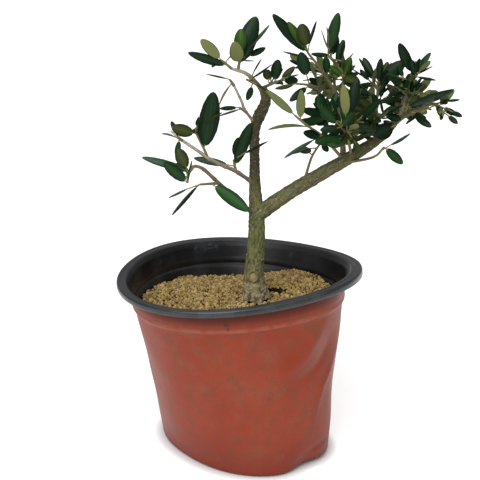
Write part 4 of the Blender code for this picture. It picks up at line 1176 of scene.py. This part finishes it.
def addFiner(grown, taken, limbs):  # the finer shoots, within the same reach
    reach = growth["fineReach"]
    for kind, some in grown.items():
        name = "leaves_" + kind
        low, high = (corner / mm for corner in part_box(name))
        dice = random.Random(some["seed"] + growth["fineSeed"])
        others = [tree for other, tree in taken.items() if other != kind]
        looksOf = "ddmoy" if kind.startswith("crown") else "dddmo"
        for _ in range(growth["fine"][kind.split("_")[0]]):
            size = dice.uniform(*growth["fineLeaf"])
            at, heading = dice.uniform(*growth["fineAt"]), dice.uniform(-180, 180)
            rise, stalk = dice.uniform(*growth["fineRise"]), dice.uniform(*growth["fineStalk"])
            pairs, look = dice.choice((0, 1, 1, 2)), dice.choice(looksOf)
            twig, hung = shootParts(some["stem"], (at, heading, rise, stalk, size, look, 0, pairs), dice)
            solids = [leafSolid(one) for one in hung]
            if twig:
                solids.append(twigSolid(twig))
            inside = all(low[k] - reach < p[k] < high[k] + reach
                         for points, _ in solids for p in points for k in range(3))
            if not inside or any(touches(solid, [*limbs, *others]) for solid in solids):
                continue
            some["solids"] += solids
            taken[kind] = BVHTree.FromPolygons(*joined(some["solids"]))
            some["leaves"] += hung
            if twig:
                some["twigs"].append(twig)


def leafMaterials():
    made, index = [], {}
    for name, (upper, under, rib) in looks.items():
        index[name] = len(made)
        for part, colour, rough, specular in (
            ("Leaf", upper, 0.34, 0.17), ("Underside", under, 0.6, 0.12), ("Rib", rib, 0.45, 0.15),
            # the margin: the upper colour darkened as painted shade of the edge that curls down
            ("Margin", [blade["marginShade"] * c for c in upper], 0.4, 0.12),
        ):
            made.append(newMaterial(name + part, tone(*colour), rough, specular))
    return made, index


def bentBlade(shape, one, sway):  # the points of one leaf
    ahead = one["ahead"].normalized()
    side = ahead.cross(one["shown"]).normalized()
    face = side.cross(ahead)
    over = -1 if one["look"] == "P" else 1
    stalk = one["stalk"] or growth["petiole"]
    length = one["length"] if one["stalk"] else one["length"] - stalk
    x, y, z = shape.T
    across = x * 0.5 * one["broad"] + sway * length * y**2
    bend = one["curl"] * length * y**2 * over
    sag = z * blade["thick"] * 0.5 - bend - blade["drop"] * one["broad"] * x**2
    points = np.outer(y * length, ahead) + np.outer(across, over * side) + np.outer(sag, over * face)
    return points + np.array(one["root"] + ahead * (stalk - 0.3))


def makeLeaves(grown):  # a bent copy of the model blade for every leaf, in six pieces
    shape, quads, sides = modelBlade()
    materials, index = leafMaterials()
    dice = random.Random(growth["lookSeed"])
    for region, kinds in regions.items():
        points, faces, slots = [], [], []
        nodes = ["leaves_" + kind for kind in kinds]
        for one in [one for kind in kinds for one in grown[kind]["leaves"]]:
            look = dice.choice(dealt[one["look"]])
            faces += [tuple(len(points) * len(shape) + i for i in quad) for quad in quads]
            points.append(bentBlade(shape, one, dice.uniform(-blade["sway"], blade["sway"])))
            slots += [index[look] + s for s in sides]
        piece = pieceFrom(region, np.concatenate(points), faces, materials, slots)
        smoothShade(piece, 40)
        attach(piece, "root")
        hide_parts(*nodes)
        print(region, len(points), "leaves", len(faces), "faces")


def makeTwigs(grown):
    stems, stalks, thin = [], [], growth["twig"]
    for some in grown.values():
        stems.append((flow(some["stem"][::2], 4), (growth["stem"], thin)))
        for root, end in some["twigs"]:
            stems.append(([root, root.lerp(end, 0.5), end], (thin, growth["twigTip"])))
        for one in some["leaves"]:
            ahead = one["ahead"].normalized()
            stalk = one["stalk"] or growth["petiole"]
            stalks.append(([one["root"], one["root"] + ahead * (stalk + 0.8)], growth["petioleRadii"]))
    for name, lines, colour, rough in (
        ("twigs", stems, tone(112, 105, 74), 0.75), ("petioles", stalks, tone(118, 118, 60), 0.55)
    ):
        piece = curveTubes(name, lines, 1)
        movePoints(piece, pointsOf(piece) * mm)
        piece.data.materials.append(newMaterial(name + "Skin", colour, rough, 0.3))
        smoothShade(piece, 60)
        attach(piece, "root")
        print(name, len(lines), "lines")


grown = grow()
makeLeaves(grown)
makeTwigs(grown)


# Stage: a white floor that darkens at the foot, two soft suns, and the camera at the photograph's angle
studio = dict(
    camera=(-1.0, -649.63, 307.45), pitch=15.626, lens=84.66, sky=0.25,
    # the suns: power, turn, and how wide the light comes from
    suns={"keyLight": (1.94, (48, -6, -14), 45), "fillLight": (0.95, (12, 8, 0), 100)},
    floorSize=16, floorTone=0.74, floorGlow=0.58,
    contact=7.0, contactPower=2.6,  # how far from the foot the floor's glow dims as a painted contact shadow, and how sharply
)


def makeStage():
    bpy.ops.mesh.primitive_plane_add(size=studio["floorSize"])
    floor = bpy.context.object
    floor.name = "floor"
    paper = newMaterial("whitePaper", (*[studio["floorTone"]] * 3, 1), 0.9, 0.1)
    shader = paper.node_tree.nodes["Principled BSDF"]
    shader.inputs["Emission Color"].default_value = (1, 1, 1, 1)
    # a painted contact shadow: the floor's glow dims where occlusion finds the pot close by
    near = addNode(paper, "AmbientOcclusion", {"Distance": studio["contact"] * mm}, samples=8).outputs["AO"]
    glow = times(paper, times(paper, near, studio["contactPower"], "POWER"), studio["floorGlow"])
    paper.node_tree.links.new(glow, shader.inputs["Emission Strength"])
    floor.data.materials.append(paper)
    world = bpy.data.worlds.new("softRoom")
    world.use_nodes = True
    world.node_tree.nodes["Background"].inputs["Color"].default_value = (1, 1, 1, 1)
    world.node_tree.nodes["Background"].inputs["Strength"].default_value = studio["sky"]
    bpy.context.scene.world = world
    for name, (power, turn, wide) in studio["suns"].items():
        sun = bpy.data.lights.new(name, "SUN")
        sun.energy, sun.angle = power, math.radians(wide)
        newPiece(name, sun).rotation_euler = [math.radians(a) for a in turn]
    lens = bpy.data.cameras.new("camera")
    lens.lens, lens.sensor_width = studio["lens"], 36
    lens.clip_start, lens.clip_end = 0.01, 60
    camera = newPiece("camera", lens)
    camera.location = Vector(studio["camera"]) * mm
    camera.rotation_euler = (math.radians(90 - studio["pitch"]), 0, 0)
    bpy.context.scene.camera = camera
    bpy.context.scene.view_settings.view_transform = "Standard"


makeStage()
